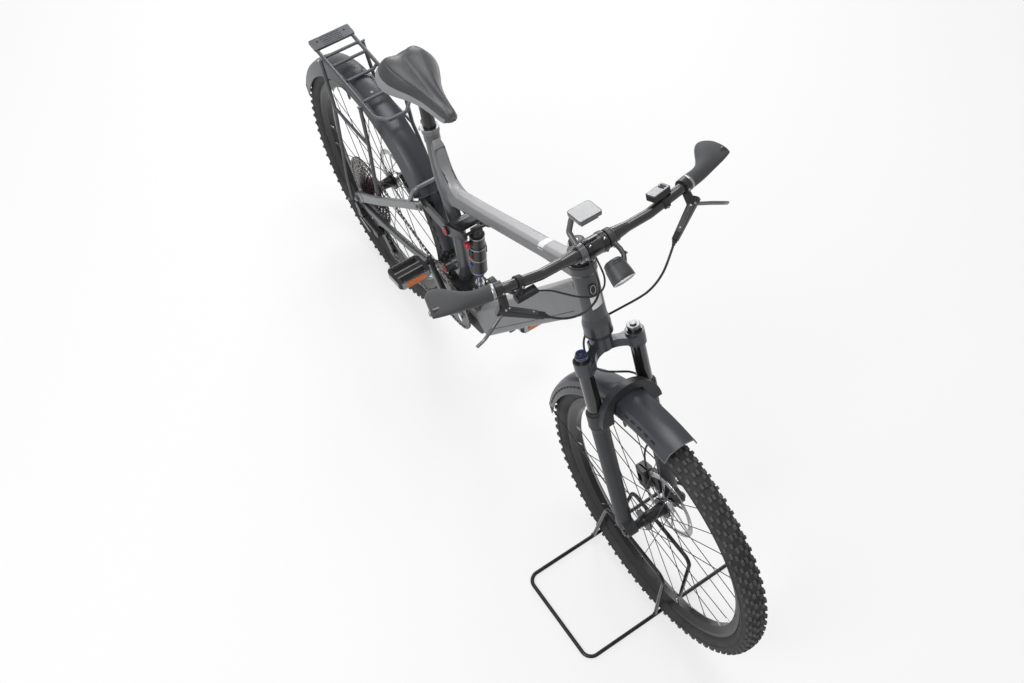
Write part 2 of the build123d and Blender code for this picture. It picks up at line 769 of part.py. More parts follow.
def seat_stays():
    body = None
    for side in (-1, 1):
        y = side * (dropout_half + 6)
        stay = stay_run(
            [at(14, y, 386), at(120, side * 72, 466), at(235, side * 58, 560), at(296, side * 51, 608)],
            [(11, 30), (13, 24), (13, 23), (11, 24)],
        )
        hanger = side_plate(hanger_outline, y - side * 5.7, y + side * 5.7)
        eye = across(rocker_rear, 13, side * 44.5, side * 56)
        leg = stay + hanger + eye
        leg -= across(rear_axle, rear_axle_radius, -120, 120)
        leg += across(rocker_rear, 5, side * 30, side * 50)
        if side > 0:
            leg += across(at(74, 0, 432), 9, rotor_offset + 17 + seat_gap, 72)
        body = leg if body is None else body + leg
    a = radians(45)
    r = rear_guard_radius + seat_gap + 6
    arch = [at(258, -56, 578), at(r * sin(a), -46, axle_z + r * cos(a)),
            at(r * sin(a), 46, axle_z + r * cos(a)), at(258, 56, 578)]
    return body + rod(arch, 6, 16)


def chain_stays():
    """Two long lower stays from the main pivot to the dropouts."""
    body = None
    for side in (-1, 1):
        stay = stay_run(
            [at(8, side * 80, 358), at(120, side * 69, 364), at(250, side * 57, 384),
             at(328, side * 48, 404), at(362, side * 38, 419), at(386, side * 33, 436)],
            [(10, 24), (13, 26), (14, 26), (13, 24), (10, 24), (10, 26)],
        )
        eye = across(main_pivot, 16, side * (22 + seat_gap), side * 40)
        leg = stay + eye
        grown = [(x, z, r + seat_gap) for x, z, r in hanger_outline]
        leg -= side_plate(grown, side * 70, side * 92)
        leg = main_piece(leg)
        body = leg if body is None else body + leg
    body += across(main_pivot, 6, -42, 42)
    return body


def rear_axle_pin():
    return across(rear_axle, rear_axle_radius, -dropout_half - 14, dropout_half + 14)


def rear_caliper():
    return Pos(rear_axle) * Rot(0, rear_caliper_turn, 0) * caliper_place * caliper()


def seatpost():
    """Straight post with a head that clamps the saddle rails."""
    body = bar(seat_line[1] + post_slope * 0.2, post_top, seatpost_radius)
    head = Pos(post_top + Vector(0, 0, 2)) * Box(44, 26, 14)
    head += Pos(post_top + Vector(0, 0, 4)) * Box(36, 56, 8)
    return body + head - saddle_rails()


def saddle_rails():
    """Two rails, each rising to the shell at both ends."""
    wires = []
    z = post_top.Z + 9
    end_z = saddle_ceiling - 3.8
    for side in (-1, 1):
        y = side * 22
        points = [
            at(205, side * 34, end_z), at(243, y, z), at(320, side * 20, z), at(404, side * 5, end_z),
        ]
        wires.append(rod(points, 3.5, 16))
    return Compound(children=wires)


def saddle_loft(stations, roundness):
    sections = []
    for x, half, top, low in stations:
        plane = Plane(origin=at(x, 0, (top + low) / 2), x_dir=(0, 1, 0), z_dir=(1, 0, 0))
        radius = min(half, (top - low) / 2) * roundness
        sections.append(plane * RectangleRounded(2 * half, top - low, radius))
    return loft(sections)


def saddle():
    """Wide rear lobes narrowing to a rounded nose, hollow underneath for the rails."""
    outer = saddle_loft([
        (186, 50, 1018, 978), (202, 68, 1026, 968), (232, 75, 1028, 962), (272, 62, 1022, 968),
        (318, 37, 1016, 982), (372, 23, 1015, 986), (410, 18, 1015, 988), (426, 11, 1010, 992),
    ], 0.9)
    hollow = saddle_loft([
        (197, 48, saddle_ceiling, 900), (232, 64, saddle_ceiling, 900), (272, 51, saddle_ceiling, 900),
        (318, 28, saddle_ceiling, 900), (372, 16, saddle_ceiling, 900), (412, 11, saddle_ceiling, 900),
    ], 0.2)
    return outer - hollow


def seat_clamp():
    """Split ring at the top of the seat tube."""
    direction = post_slope.normalized()
    start = seat_line[0] + direction * seat_gap
    ring = bar(start, start + direction * 14, seat_tube_radius + 4)
    lug = Pos(start + direction * 7 + Vector(-24, 0, 0)) * Box(14, 16, 12)
    return ring + lug - bar(start - direction, start + direction * 20, seatpost_radius + seat_gap)


# Drivetrain


def pitch_radius(teeth):
    return chain_pitch / (2 * sin(pi / teeth))


def sprocket(teeth, thickness, hole):
    """A toothed disc drawn on the XY plane, centred on its thickness."""
    r = pitch_radius(teeth)
    root = r - 4.0
    tip = r + tooth_reach
    points = []
    for i in range(teeth):
        base = 2 * pi * i / teeth
        for offset, radius in ((-0.34, root), (-0.12, tip), (0.12, tip), (0.34, root)):
            a = base + offset * 2 * pi / teeth
            points.append((radius * cos(a), radius * sin(a)))
    face = make_face(Polyline(*points, close=True)) - Circle(hole)
    return extrude(face, thickness / 2, both=True)


def upright(centre, shape):
    """Stands a shape drawn on the XY plane on its edge, facing the right side."""
    return Pos(centre) * Rot(90, 0, 0) * shape


def cassette():
    body = None
    last = cassette_first_y - (len(cassette_teeth) - 1) * sprocket_step
    for i, teeth in enumerate(cassette_teeth):
        y = cassette_first_y - i * sprocket_step
        disc = upright(at(0, y, axle_z), sprocket(teeth, 1.6, cassette_bore))
        body = disc if body is None else body + disc
    core = upright(at(0, (cassette_first_y + 4 + last) / 2, axle_z),
                   Cylinder(20, abs(last - cassette_first_y) + 4) - Cylinder(cassette_bore, 100))
    return body + core


def chain_circuit():
    """Circles the chain runs round, in order, with +1 for those inside the loop."""
    return [
        (Vector(bottom_bracket.X, chainring_y, bottom_bracket.Z), pitch_radius(chainring_teeth), 1),
        (lower_jockey, pitch_radius(jockey_teeth), 1),
        (upper_jockey, pitch_radius(jockey_teeth), -1),
        (at(0, cassette_first_y, axle_z), pitch_radius(cassette_teeth[0]), 1),
    ]


def chain_tangents():
    runs = []
    stops = chain_circuit()
    for (ca, ra, sa), (cb, rb, sb) in zip(stops, stops[1:] + stops[:1]):
        dx = cb.X - ca.X
        dz = cb.Z - ca.Z
        angle = atan2(dz, dx) - asin((sa * ra - sb * rb) / hypot(dx, dz))
        left = Vector(-sin(angle), 0, cos(angle))
        runs.append((ca + left * (sa * ra), cb + left * (sb * rb)))
    return runs


def run_stretches(start, end):
    """A free run keeps each sprocket's plane near its ends and slants between."""
    if abs(start.Y - end.Y) < 0.01:
        return [(start, end)]
    along = Vector(end.X - start.X, 0, end.Z - start.Z).normalized() * 28
    return [(start, start + along), (start + along, end - along), (end - along, end)]


def run_point(start, end, offset):
    """The point that far along a run, on its bent line."""
    for low, high in run_stretches(start, end):
        length = (high - low).length
        if offset <= length:
            break
        offset -= length
    return low + (high - low).normalized() * offset


def chain():
    """Two side plates run right round the loop and straddle the teeth; pins tie the free runs."""
    runs = chain_tangents()
    stops = chain_circuit()
    body = None
    for side in (-1, 1):
        for start, end in runs:
            for low, high in run_stretches(start, end):
                direction = (high - low).normalized()
                middle = (low + high) * 0.5 + Vector(0, side * (plate_inner + plate_outer) / 2, 0)
                plane = Plane(origin=middle, x_dir=direction, z_dir=direction.cross(Vector(0, 1, 0)))
                length = (high - low).length + 1.0
                piece = plane.location * Box(length, plate_outer - plate_inner, plate_half * 2)
                body = piece if body is None else body + piece
        for i, (centre, radius, turn) in enumerate(stops):
            arrive = runs[i - 1][1]
            leave = runs[i][0]
            a0 = degrees(atan2(arrive.Z - centre.Z, arrive.X - centre.X))
            a1 = degrees(atan2(leave.Z - centre.Z, leave.X - centre.X))
            sweep_angle = (a0 - a1) % 360 if turn > 0 else (a1 - a0) % 360
            first = a1 if turn > 0 else a0
            y = centre.Y + side * (plate_inner + plate_outer) / 2
            ring = Rectangle(plate_half * 2, plate_outer - plate_inner)
            face = Plane(origin=(radius, 0, 0), x_dir=(1, 0, 0), z_dir=(0, 1, 0)) * ring
            arc = revolve(face, Axis.Z, sweep_angle)
            arc = Rot(0, 0, first) * arc
            body += Pos(centre.X, y, centre.Z) * Rot(90, 0, 0) * arc
    past_teeth = tooth_reach + pin_radius + 0.8
    for i, (start, end) in enumerate(runs):
        length = (end - start).length
        ends = (stops + stops[:1])[i:i + 2]
        clear = [sqrt((radius + past_teeth) ** 2 - radius ** 2) for centre, radius, turn in ends]
        offset = clear[0]
        while offset < length - clear[1]:
            centre = run_point(start, end, offset)
            body += across(centre, pin_radius, centre.Y - plate_outer + 0.2, centre.Y + plate_outer - 0.2)
            offset += 2 * chain_pitch
    return body


def derailleur():
    """Hanger, slanted link body, cage and two toothed pulleys."""
    body = None
    plate_y = 4.3
    for side in (-1, 1):
        y0 = cassette_first_y + side * plate_y
        plate = side_plate([
            (upper_jockey.X, upper_jockey.Z, 13), (lower_jockey.X, lower_jockey.Z, 13)],
            y0, y0 + side * 1.8)
        body = plate if body is None else body + plate
    for jockey in (upper_jockey, lower_jockey):
        body += upright(jockey, sprocket(jockey_teeth, 1.6, 4))
        body += across(jockey, 6, cassette_first_y - 6, cassette_first_y + 6)
    knuckle = Vector(upper_jockey.X, 0, upper_jockey.Z)
    body += across(knuckle, 15, cassette_first_y - 6, cassette_first_y - 26)
    top_knuckle = at(14, -84, 322)
    body += across(top_knuckle, 14, -76, -93)
    body += loft([
        Plane(origin=top_knuckle + Vector(2, 0, -6), z_dir=(0.25, 0.22, -0.9)) * RectangleRounded(30, 18, 5),
        Plane(origin=knuckle + Vector(0, cassette_first_y - 18, 8), z_dir=(0.25, 0.22, -0.9))
        * RectangleRounded(28, 18, 5),
    ])
    arm = side_plate([(top_knuckle.X, top_knuckle.Z, 12), (rear_x + 2, 346, 10)], -86.3, -93)
    return body + arm


def crank_arms():
    body = across(bottom_bracket, 12, -68, 68)
    for side, angle in ((-1, radians(crank_angle)), (1, radians(crank_angle + 180))):
        out = Vector(cos(angle), 0, sin(angle))
        inner = bottom_bracket + Vector(0, side * 67, 0)
        outer = bottom_bracket + out * crank_length + Vector(0, side * 81, 0)
        direction = outer - inner
        sections = []
        for t, wide, thick in ((0, 36, 17), (0.25, 31, 16), (0.75, 25, 14), (1, 27, 14)):
            square = Vector(0, 1, 0) - direction * (direction.Y / direction.length ** 2)
            plane = Plane(origin=inner + direction * t, x_dir=square, z_dir=direction)
            sections.append(plane * RectangleRounded(thick, wide, 5))
        body += loft(sections)
        body += across(bottom_bracket, 19, side * 59, side * 76)
        tip = bottom_bracket + out * crank_length
        body += across(tip, 14, side * 74, side * 88)
        body += across(tip, 7, side * 80, side * 186)
    return body


def chainring():
    disc = sprocket(chainring_teeth, 1.6, 20)
    cut = Sketch()
    for i in range(5):
        a = radians(72 * i + 10)
        cut += Pos(42 * cos(a), 42 * sin(a)) * Rot(0, 0, degrees(a)) * SlotOverall(26, 18)
    disc = disc - extrude(cut, 10, both=True)
    hub_ring = Cylinder(24, 14) - Cylinder(12 + seat_gap, 40)
    centre = Vector(bottom_bracket.X, chainring_y, bottom_bracket.Z)
    return upright(centre, disc + hub_ring)


def pedal_centre(side):
    a = radians(crank_angle if side < 0 else crank_angle + 180)
    return bottom_bracket + Vector(crank_length * cos(a), side * pedal_y, crank_length * sin(a))


def pedal(side):
    """Flat platform with an open frame round a bored axle housing."""
    body = Box(pedal_length, pedal_width, pedal_thickness)
    body = fillet(body.edges().filter_by(Axis.Z), 12)
    for x in (-1, 1):
        body -= Pos(x * 20.5, 0, 0) * Box(17, pedal_width - 24, 30)
    body -= Rot(90, 0, 0) * Cylinder(7 + pin_clearance, 120)
    return Pos(pedal_centre(side)) * Rot(0, -12, 0) * body


# Rack and rear mudguard


def rear_mudguard():
    section = guard_section(rear_guard_radius, 39, 30, 7, 44)
    upper = guard(section, rear_axle, -73, 49.5)
    narrow = guard_section(rear_guard_radius, 27, 22, 4, 12)
    lower = guard(narrow, rear_axle, 57, 74)
    strip = guard(make_face(Polyline(
        (-10, rear_guard_radius - guard_wall), (-10, rear_guard_radius), (10, rear_guard_radius),
        (10, rear_guard_radius - guard_wall), close=True)), rear_axle, 49, 58)
    return upper + strip + lower


def rack():
    """Tube loop with cross tubes and a plate at the rear; one tube dips to the mudguard."""
    z = rack_height
    w = rack_half_width
    loop = [at(-196, -w, z), at(120, -w, z), at(150, -26, z), at(150, 26, z), at(120, w, z), at(-196, w, z)]
    body = rod(loop, rack_tube, 14)
    cross = rack_tube - 0.7
    for x in (-133, -93, 60):
        body += bar(at(x, -w, z), at(x, w, z), cross)
    dip = axle_z + sqrt(rear_guard_radius ** 2 - 38 ** 2) + seat_gap + cross + 0.2
    body += rod([at(-38, -w, z), at(-38, -w + 12, dip), at(-38, w - 12, dip), at(-38, w, z)], cross)
    plate = Pos(at(-182, 0, z + 4)) * Box(40, 2 * w + 14, 7)
    body += fillet(plate.edges().filter_by(Axis.Z), 4)
    for side in (-1, 1):
        body -= Pos(at(lamp_hole_x, side * lamp_hole_spacing / 2, z)) * Cylinder(lamp_hole_radius, 40)
    return body


def rack_legs():
    """Bent side legs from the rack rails to the dropouts and seat stays."""
    body = []
    for side in (-1, 1):
        y = side * (rack_half_width + 2 * rack_tube + seat_gap)
        foot_y = side * (dropout_half + 6 + 5.7 + seat_gap + rack_tube)
        rear_leg = rod([
            at(-131, y, rack_height), at(-87, side * 66, 645), at(-32, foot_y, 420), at(-24, foot_y, 350),
        ], rack_tube, 30)
        front_leg = rod([at(69, y, rack_height), at(93, side * 66, 660), at(138, side * 84, 520)],
                        rack_tube, 40)
        brace = bar(at(-84, side * 66.5, 645), at(93, side * 66.5, 658), rack_tube - 1)
        body.append(rear_leg + front_leg + brace)
    return Compound(children=body)


# Hoses


def front_hose():
    """From the left lever, behind the crown, over the mudguard and down the left leg to the caliper."""
    tip = reservoir_end(1)
    fork_knots = [
        (112, 110, 660), (87, 90, 622), (50, 76, 590), (12, 66, 560), (-20, 48, 535), (-50, 18, 512),
        (-66, -6, 480), (-66, -14, 438), (-54, -10, 404), (-22, 0, 400), (6, 22, 402), (6, 50, 385),
        (-2, 74, 352), (8, 93, 318), (20, 96, 262), (12, 92, 205), (-12, 78, 155),
        (fork_offset - caliper_back, rotor_offset + 9, caliper_rise + 74),
        (fork_offset - caliper_back, rotor_offset + 9, caliper_rise + 29),
    ]
    return cord([tip, tip + hose_way(1) * 38] + [fork_point(*knot) for knot in fork_knots], 2.5)


stem_arm = Vector(stem_reach - stem_root[0], bar_height - stem_root[1])
port_turn = atan2(stem_arm.Y, stem_arm.X) - acos((stem_root_radius - stem_tip_radius) / stem_arm.length)
port_out = (cos(port_turn), sin(port_turn))
port_way = (steer_forward * port_out[0] + steer_up * port_out[1]) * -1
stem_port = (
    (stem_root[0] + stem_reach) / 2 + port_out[0] * (stem_root_radius + stem_tip_radius) / 2,
    (stem_root[1] + bar_height) / 2 + port_out[1] * (stem_root_radius + stem_tip_radius) / 2,
)


def rear_hose():
    """From the right lever round the front of the head tube into the stem."""
    tip = reservoir_end(-1)
    port = fork_point(stem_port[0], -8, stem_port[1])
    return cord([
        tip, tip + hose_way(-1) * 30, (412, -104, 1034), (411, -70, 1030), (398, -38, 1028),
        (374, -15, 1027), port - port_way * 30, port,
    ], 2.5)


def shift_cable():
    """From the shifter's barrel into the stem."""
    start = cable_exit()
    port = fork_point(stem_port[0], 8, stem_port[1])
    return cord([
        start, start + cable_way * 24, (372, -101, 1063), (388, -75, 1049), (397, -48, 1038),
        (389, -17, 1030), (368, 2, 1029), port - port_way * 26, port,
    ], 2.0)


pieces = []
for name, centre, width, axle in (
    ("front", front_axle, front_hub_width, front_axle_radius),
    ("rear", rear_axle, rear_hub_width, rear_axle_radius),
):
    pieces += [
        (name + "_tyre", spin, (tyre_section(), centre)),
        (name + "_rim", spin, (rim_section(), centre)),
        (name + "_spokes", spokes, (centre,)),
        (name + "_hub", hub, (centre, width, axle)),
        (name + "_rotor", rotor, (centre,)),
    ]
for side, word in ((-1, "right"), (1, "left")):
    pieces += [
        ("grip_" + word, grip, (side,)),
        ("brake_lever_" + word, brake_lever, (side,)),
        ("lever_blade_" + word, lever_blade, (side,)),
    ]
pieces += [
    ("display_stand", display_stand, ()),
    ("fork_crown", fork_crown, ()),
    ("fork_stanchions", fork_stanchions, ()),
    ("fork_lowers", fork_lowers, ()),
    ("front_axle", front_axle_pin, ()),
    ("front_caliper", front_caliper, ()),
    ("front_mudguard", front_mudguard, ()),
    ("mudguard_stays", mudguard_stays, ()),
    ("stem", stem, ()),
    ("handlebar", handlebar, ()),
    ("shifter", shifter, ()),
    ("drive_remote", drive_remote, ()),
    ("display", display, ()),
    ("headlight", headlight, ()),
    ("head_tube", head_tube, ()),
    ("down_tube", down_tube, ()),
    ("top_tube", top_tube, ()),
    ("seat_tube", seat_tube, ()),
    ("motor", motor, ()),
    ("rocker_link", rocker_link, ()),
    ("shock_body", shock_body, ()),
    ("shock_shaft", shock_shaft, ()),
    ("seat_stays", seat_stays, ()),
    ("chain_stays", chain_stays, ()),
    ("rear_axle", rear_axle_pin, ()),
    ("rear_caliper", rear_caliper, ()),
    ("seatpost", seatpost, ()),
    ("seat_clamp", seat_clamp, ()),
    ("saddle_rails", saddle_rails, ()),
    ("saddle", saddle, ()),
    ("cassette", cassette, ()),
    ("chain", chain, ()),
    ("derailleur", derailleur, ()),
    ("crank_arms", crank_arms, ()),
    ("chainring", chainring, ()),
    ("pedal_right", pedal, (-1,)),
    ("pedal_left", pedal, (1,)),
    ("rear_mudguard", rear_mudguard, ()),
    ("rack", rack, ()),
    ("rack_legs", rack_legs, ()),
    ("hose_front", front_hose, ()),
    ("hose_rear", rear_hose, ()),
    ("shift_cable", shift_cable, ()),
]

os.makedirs("parts", exist_ok=True)
for name, make, given in pieces:
    export_step(make(*given), "parts/" + name + ".step")
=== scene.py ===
import bpy
from math import acos, asin, atan2, cos, exp, hypot, pi, radians, sin, sqrt
from mathutils import Matrix, Vector


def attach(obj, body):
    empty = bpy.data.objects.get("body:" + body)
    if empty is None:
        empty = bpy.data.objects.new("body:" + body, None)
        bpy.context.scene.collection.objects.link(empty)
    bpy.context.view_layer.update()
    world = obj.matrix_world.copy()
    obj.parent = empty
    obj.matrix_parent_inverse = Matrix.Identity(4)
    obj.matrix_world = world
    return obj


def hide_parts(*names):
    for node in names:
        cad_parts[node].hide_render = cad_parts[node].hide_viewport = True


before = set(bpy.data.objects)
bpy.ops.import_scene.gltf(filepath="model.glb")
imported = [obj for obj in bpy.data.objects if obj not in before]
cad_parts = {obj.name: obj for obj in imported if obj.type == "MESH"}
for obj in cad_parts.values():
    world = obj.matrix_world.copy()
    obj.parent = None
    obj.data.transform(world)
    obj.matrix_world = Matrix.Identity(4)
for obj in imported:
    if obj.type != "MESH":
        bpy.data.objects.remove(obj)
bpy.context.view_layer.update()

# Vectors are in metres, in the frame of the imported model: X forward, Y to the rider's left, Z up.
# Plain numbers are millimetres: at(), fork_point() and move() make vectors of them.

mm = 0.001
right, left = -1, 1
sides = {right: "right", left: "left"}
y_axis = Vector((0, 1, 0))

wheelbase = 1230
axle_height = 371
tyre_radius = 371
knob_height = 5.0
tread_pitches = 76
chain_pitch = 12.7
chain_y = -42
crank_x, crank_z = 450, 352
crank_length = 160
crank_angles = {right: radians(112), left: radians(292)}
head_lean = radians(23)
fork_offset = 50
leg_lead, leg_spacing = 30, 68
brake_back, brake_rise, brake_y = 80, 40, 43


def move(x, y, z):
    return Vector((x, y, z)) * mm


def at(x, y, z):
    """A place measured forward from the rear axle, to the left, and up from the floor."""
    return move(x - wheelbase / 2, y, z)


front_axle = move(wheelbase / 2, 0, axle_height)
rear_axle = at(0, 0, axle_height)
steer_up = Vector((-sin(head_lean), 0, cos(head_lean)))
steer_forward = Vector((cos(head_lean), 0, sin(head_lean)))
steer_base = front_axle - steer_forward * fork_offset * mm


def fork_point(forward, y, up):
    """A place ahead of, beside and along the steering axis."""
    return steer_base + (steer_forward * forward + steer_up * up) * mm + move(0, y, 0)


def from_crank(radius, angle, y):
    """A place round the crank axle, with the angle from straight ahead."""
    return at(crank_x + radius * cos(angle), y, crank_z + radius * sin(angle))


def spun(centre, angle, radius, y):
    """A place round a wheel, with the angle from its top towards the front."""
    return centre + move(radius * sin(angle), y, radius * cos(angle))


def turns(count):
    """The angles of equal steps round a full turn."""
    return [2 * pi * i / count for i in range(count)]


# Materials


def add_node(nodes, kind, **values):
    """A shader node with some inputs set, each named with _ for a space."""
    node = nodes.new("ShaderNode" + kind)
    for key, value in values.items():
        node.inputs[key.replace("_", " ")].default_value = value
    return node


def finish_of(name, colour, rough, metal, grain, depth, drift, coat=0.0, spread=0.08, sheen=0.0,
              stretch=(1, 1, 1), shine=0.5):
    """Paint, metal or plastic: cloudy colour drift, uneven gloss and a fine surface grain."""
    material = bpy.data.materials.new(name)
    material.use_nodes = True
    nodes = material.node_tree.nodes
    links = material.node_tree.links
    shader = nodes["Principled BSDF"]
    shader.inputs["Metallic"].default_value = metal
    shader.inputs["Coat Weight"].default_value = coat
    shader.inputs["Coat Roughness"].default_value = 0.15
    shader.inputs["Sheen Weight"].default_value = sheen
    shader.inputs["Specular IOR Level"].default_value = shine
    place = add_node(nodes, "TexCoord")
    scale = add_node(nodes, "Mapping", Scale=stretch)
    links.new(place.outputs["Object"], scale.inputs["Vector"])

    cloud = add_node(nodes, "TexNoise", Scale=22, Detail=4)
    links.new(scale.outputs["Vector"], cloud.inputs["Vector"])
    tint = add_node(nodes, "ValToRGB")
    low, high = tint.color_ramp.elements
    low.position = 0.32
    high.position = 0.68
    low.color = (*[c * (1 - drift) for c in colour], 1)
    high.color = (*[min(c * (1 + drift), 1) for c in colour], 1)
    links.new(cloud.outputs["Fac"], tint.inputs["Fac"])
    links.new(tint.outputs["Color"], shader.inputs["Base Color"])

    fine = add_node(nodes, "TexNoise", Scale=grain, Detail=3)
    links.new(scale.outputs["Vector"], fine.inputs["Vector"])
    gloss = add_node(nodes, "MapRange", To_Min=max(rough - spread, 0.03), To_Max=min(rough + spread, 1))
    links.new(fine.outputs["Fac"], gloss.inputs["Value"])
    links.new(gloss.outputs["Result"], shader.inputs["Roughness"])
    bump = add_node(nodes, "Bump", Strength=0.35, Distance=depth * mm)
    links.new(fine.outputs["Fac"], bump.inputs["Height"])
    links.new(bump.outputs["Normal"], shader.inputs["Normal"])
    return material


def top_lit_paint(name, low, high, rough, metal):
    """Frame paint with painted top light: the faces that look up get the lighter of two greys, standing in
    for the light from above.
    """
    material = finish_of(name, low, rough, metal, 900, 0.012, 0.06)
    nodes = material.node_tree.nodes
    links = material.node_tree.links
    colour = nodes["Principled BSDF"].inputs["Base Color"]
    place = add_node(nodes, "TexCoord")
    split = add_node(nodes, "SeparateXYZ")
    links.new(place.outputs["Normal"], split.inputs["Vector"])
    # The more a face looks up, the more painted top light, in the lighter grey, it gets.
    up_facing_share = add_node(nodes, "MapRange", From_Min=0.30, From_Max=0.62)
    links.new(split.outputs["Z"], up_facing_share.inputs["Value"])
    top_light_mix = add_node(nodes, "Mix")
    top_light_mix.data_type = "RGBA"
    links.new(up_facing_share.outputs["Result"], top_light_mix.inputs["Factor"])
    links.new(colour.links[0].from_socket, top_light_mix.inputs[6])
    top_light_mix.inputs[7].default_value = (*high, 1)
    links.new(top_light_mix.outputs[2], colour)
    return material


# Name: colour, roughness, metallic, scale of the grain, its depth in mm, colour drift, and the rest by name
finish_table = {
    "frame_paint": ((0.098, 0.101, 0.108), 0.34, 0.45, 900, 0.012, 0.05, {"coat": 0.25}),
    # A darker copy of the frame paint: painted shade on the head tube and chain stays.
    "shaded_frame_paint": ((0.062, 0.064, 0.070), 0.34, 0.45, 900, 0.012, 0.06, {"coat": 0.25}),
    # A lighter copy of the frame paint: painted light on the seat stays.
    "lit_frame_paint": ((0.20, 0.205, 0.21), 0.40, 0.45, 900, 0.012, 0.05, {"coat": 0.2}),
    "fork_paint": ((0.034, 0.035, 0.039), 0.42, 0.1, 1400, 0.03, 0.10, {"shine": 0.4}),
    "crown_paint": ((0.050, 0.053, 0.064), 0.34, 0.3, 1400, 0.01, 0.08, {"coat": 0.2}),
    "stanchion": ((0.006, 0.006, 0.007), 0.08, 0.0, 300, 0.002, 0.1,
                  {"coat": 0.6, "spread": 0.03, "stretch": (1, 1, 0.1)}),
    "black_metal": ((0.018, 0.018, 0.020), 0.32, 0.2, 1200, 0.015, 0.12, {}),
    "black_plastic": ((0.016, 0.016, 0.018), 0.56, 0.0, 2400, 0.06, 0.12, {"shine": 0.4}),
    "grey_plastic": ((0.031, 0.034, 0.043), 0.34, 0.0, 2000, 0.04, 0.08, {}),
    # A lighter grey than the guards, for their rolled edges: a painted highlight.
    "guard_edge_highlight": ((0.11, 0.112, 0.12), 0.45, 0.0, 2000, 0.04, 0.08, {}),
    "rack_paint": ((0.085, 0.088, 0.095), 0.40, 0.3, 1400, 0.03, 0.08, {}),
    "rubber": ((0.052, 0.053, 0.057), 0.68, 0.0, 1800, 0.10, 0.10, {"sheen": 0.1, "shine": 0.35}),
    "tread_rubber": ((0.086, 0.085, 0.085), 0.72, 0.0, 700, 0.16, 0.25, {"shine": 0.35}),
    "tyre_rubber": ((0.046, 0.046, 0.046), 0.76, 0.0, 700, 0.16, 0.22, {"shine": 0.3}),
    "rim": ((0.012, 0.012, 0.013), 0.34, 0.2, 900, 0.01, 0.15, {}),
    "spokes": ((0.035, 0.035, 0.04), 0.30, 0.5, 500, 0.01, 0.2, {}),
    "steel": ((0.42, 0.42, 0.43), 0.28, 1.0, 1500, 0.02, 0.12, {"stretch": (1, 12, 1)}),
    "dark_steel": ((0.12, 0.12, 0.125), 0.34, 1.0, 900, 0.03, 0.2, {}),
    "chain_steel": ((0.17, 0.165, 0.155), 0.34, 1.0, 1200, 0.03, 0.3, {}),
    "cog_steel": ((0.085, 0.085, 0.088), 0.32, 1.0, 1500, 0.02, 0.15, {}),
    "rotor_steel": ((0.50, 0.50, 0.51), 0.26, 1.0, 2400, 0.02, 0.1, {}),
    "caliper": ((0.045, 0.045, 0.048), 0.40, 0.4, 1200, 0.03, 0.12, {}),
    "bar_black": ((0.014, 0.014, 0.016), 0.24, 0.0, 1200, 0.008, 0.12, {"coat": 0.35}),
    "gloss_plastic": ((0.10, 0.10, 0.105), 0.30, 0.0, 400, 0.004, 0.1, {"coat": 0.3}),
    "stand_paint": ((0.007, 0.007, 0.008), 0.26, 0.0, 500, 0.05, 0.2, {"shine": 0.4}),
    "hose_skin": ((0.012, 0.012, 0.014), 0.38, 0.0, 900, 0.02, 0.15, {}),
    "satin_silver": ((0.34, 0.34, 0.35), 0.36, 0.9, 1800, 0.02, 0.08, {}),
    "lever_metal": ((0.16, 0.16, 0.165), 0.30, 0.8, 1500, 0.02, 0.10, {}),
    "panel_grey": ((0.040, 0.041, 0.045), 0.44, 0.0, 1800, 0.03, 0.08, {}),
    "red_metal": ((0.52, 0.020, 0.035), 0.30, 0.4, 900, 0.01, 0.12, {"coat": 0.3}),
    "blue_metal": ((0.015, 0.075, 0.50), 0.30, 0.4, 900, 0.01, 0.12, {"coat": 0.3}),
    "orange_lens": ((0.68, 0.16, 0.015), 0.22, 0.0, 500, 0.12, 0.18, {"coat": 0.5}),
    "white_label": ((0.80, 0.80, 0.81), 0.42, 0.0, 900, 0.006, 0.02, {}),
    "screen_glass": ((0.46, 0.47, 0.48), 0.14, 0.0, 300, 0.002, 0.04, {"coat": 0.5}),
    "lens_glass": ((0.74, 0.75, 0.77), 0.12, 0.0, 300, 0.01, 0.05, {"coat": 0.6}),
    "silver_pad": ((0.27, 0.275, 0.29), 0.40, 0.2, 1600, 0.03, 0.06, {}),
    "saddle_skin": ((0.050, 0.051, 0.056), 0.40, 0.0, 1500, 0.09, 0.10, {"sheen": 0.05, "shine": 0.45}),
    "shell_plastic": ((0.25, 0.252, 0.26), 0.44, 0.0, 1400, 0.03, 0.06, {}),
    "thread": ((0.12, 0.12, 0.125), 0.6, 0.0, 3000, 0.02, 0.1, {}),
}
finishes = {name: finish_of(name, *row[:-1], **row[-1]) for name, row in finish_table.items()}
# Darker grey on the sides, and a lighter grey painted on as top light where the faces look up.
finishes["top_lit_frame_paint"] = top_lit_paint("top_lit_frame_paint", (0.16, 0.163, 0.17), (0.36, 0.36, 0.37), 0.42, 0.30)

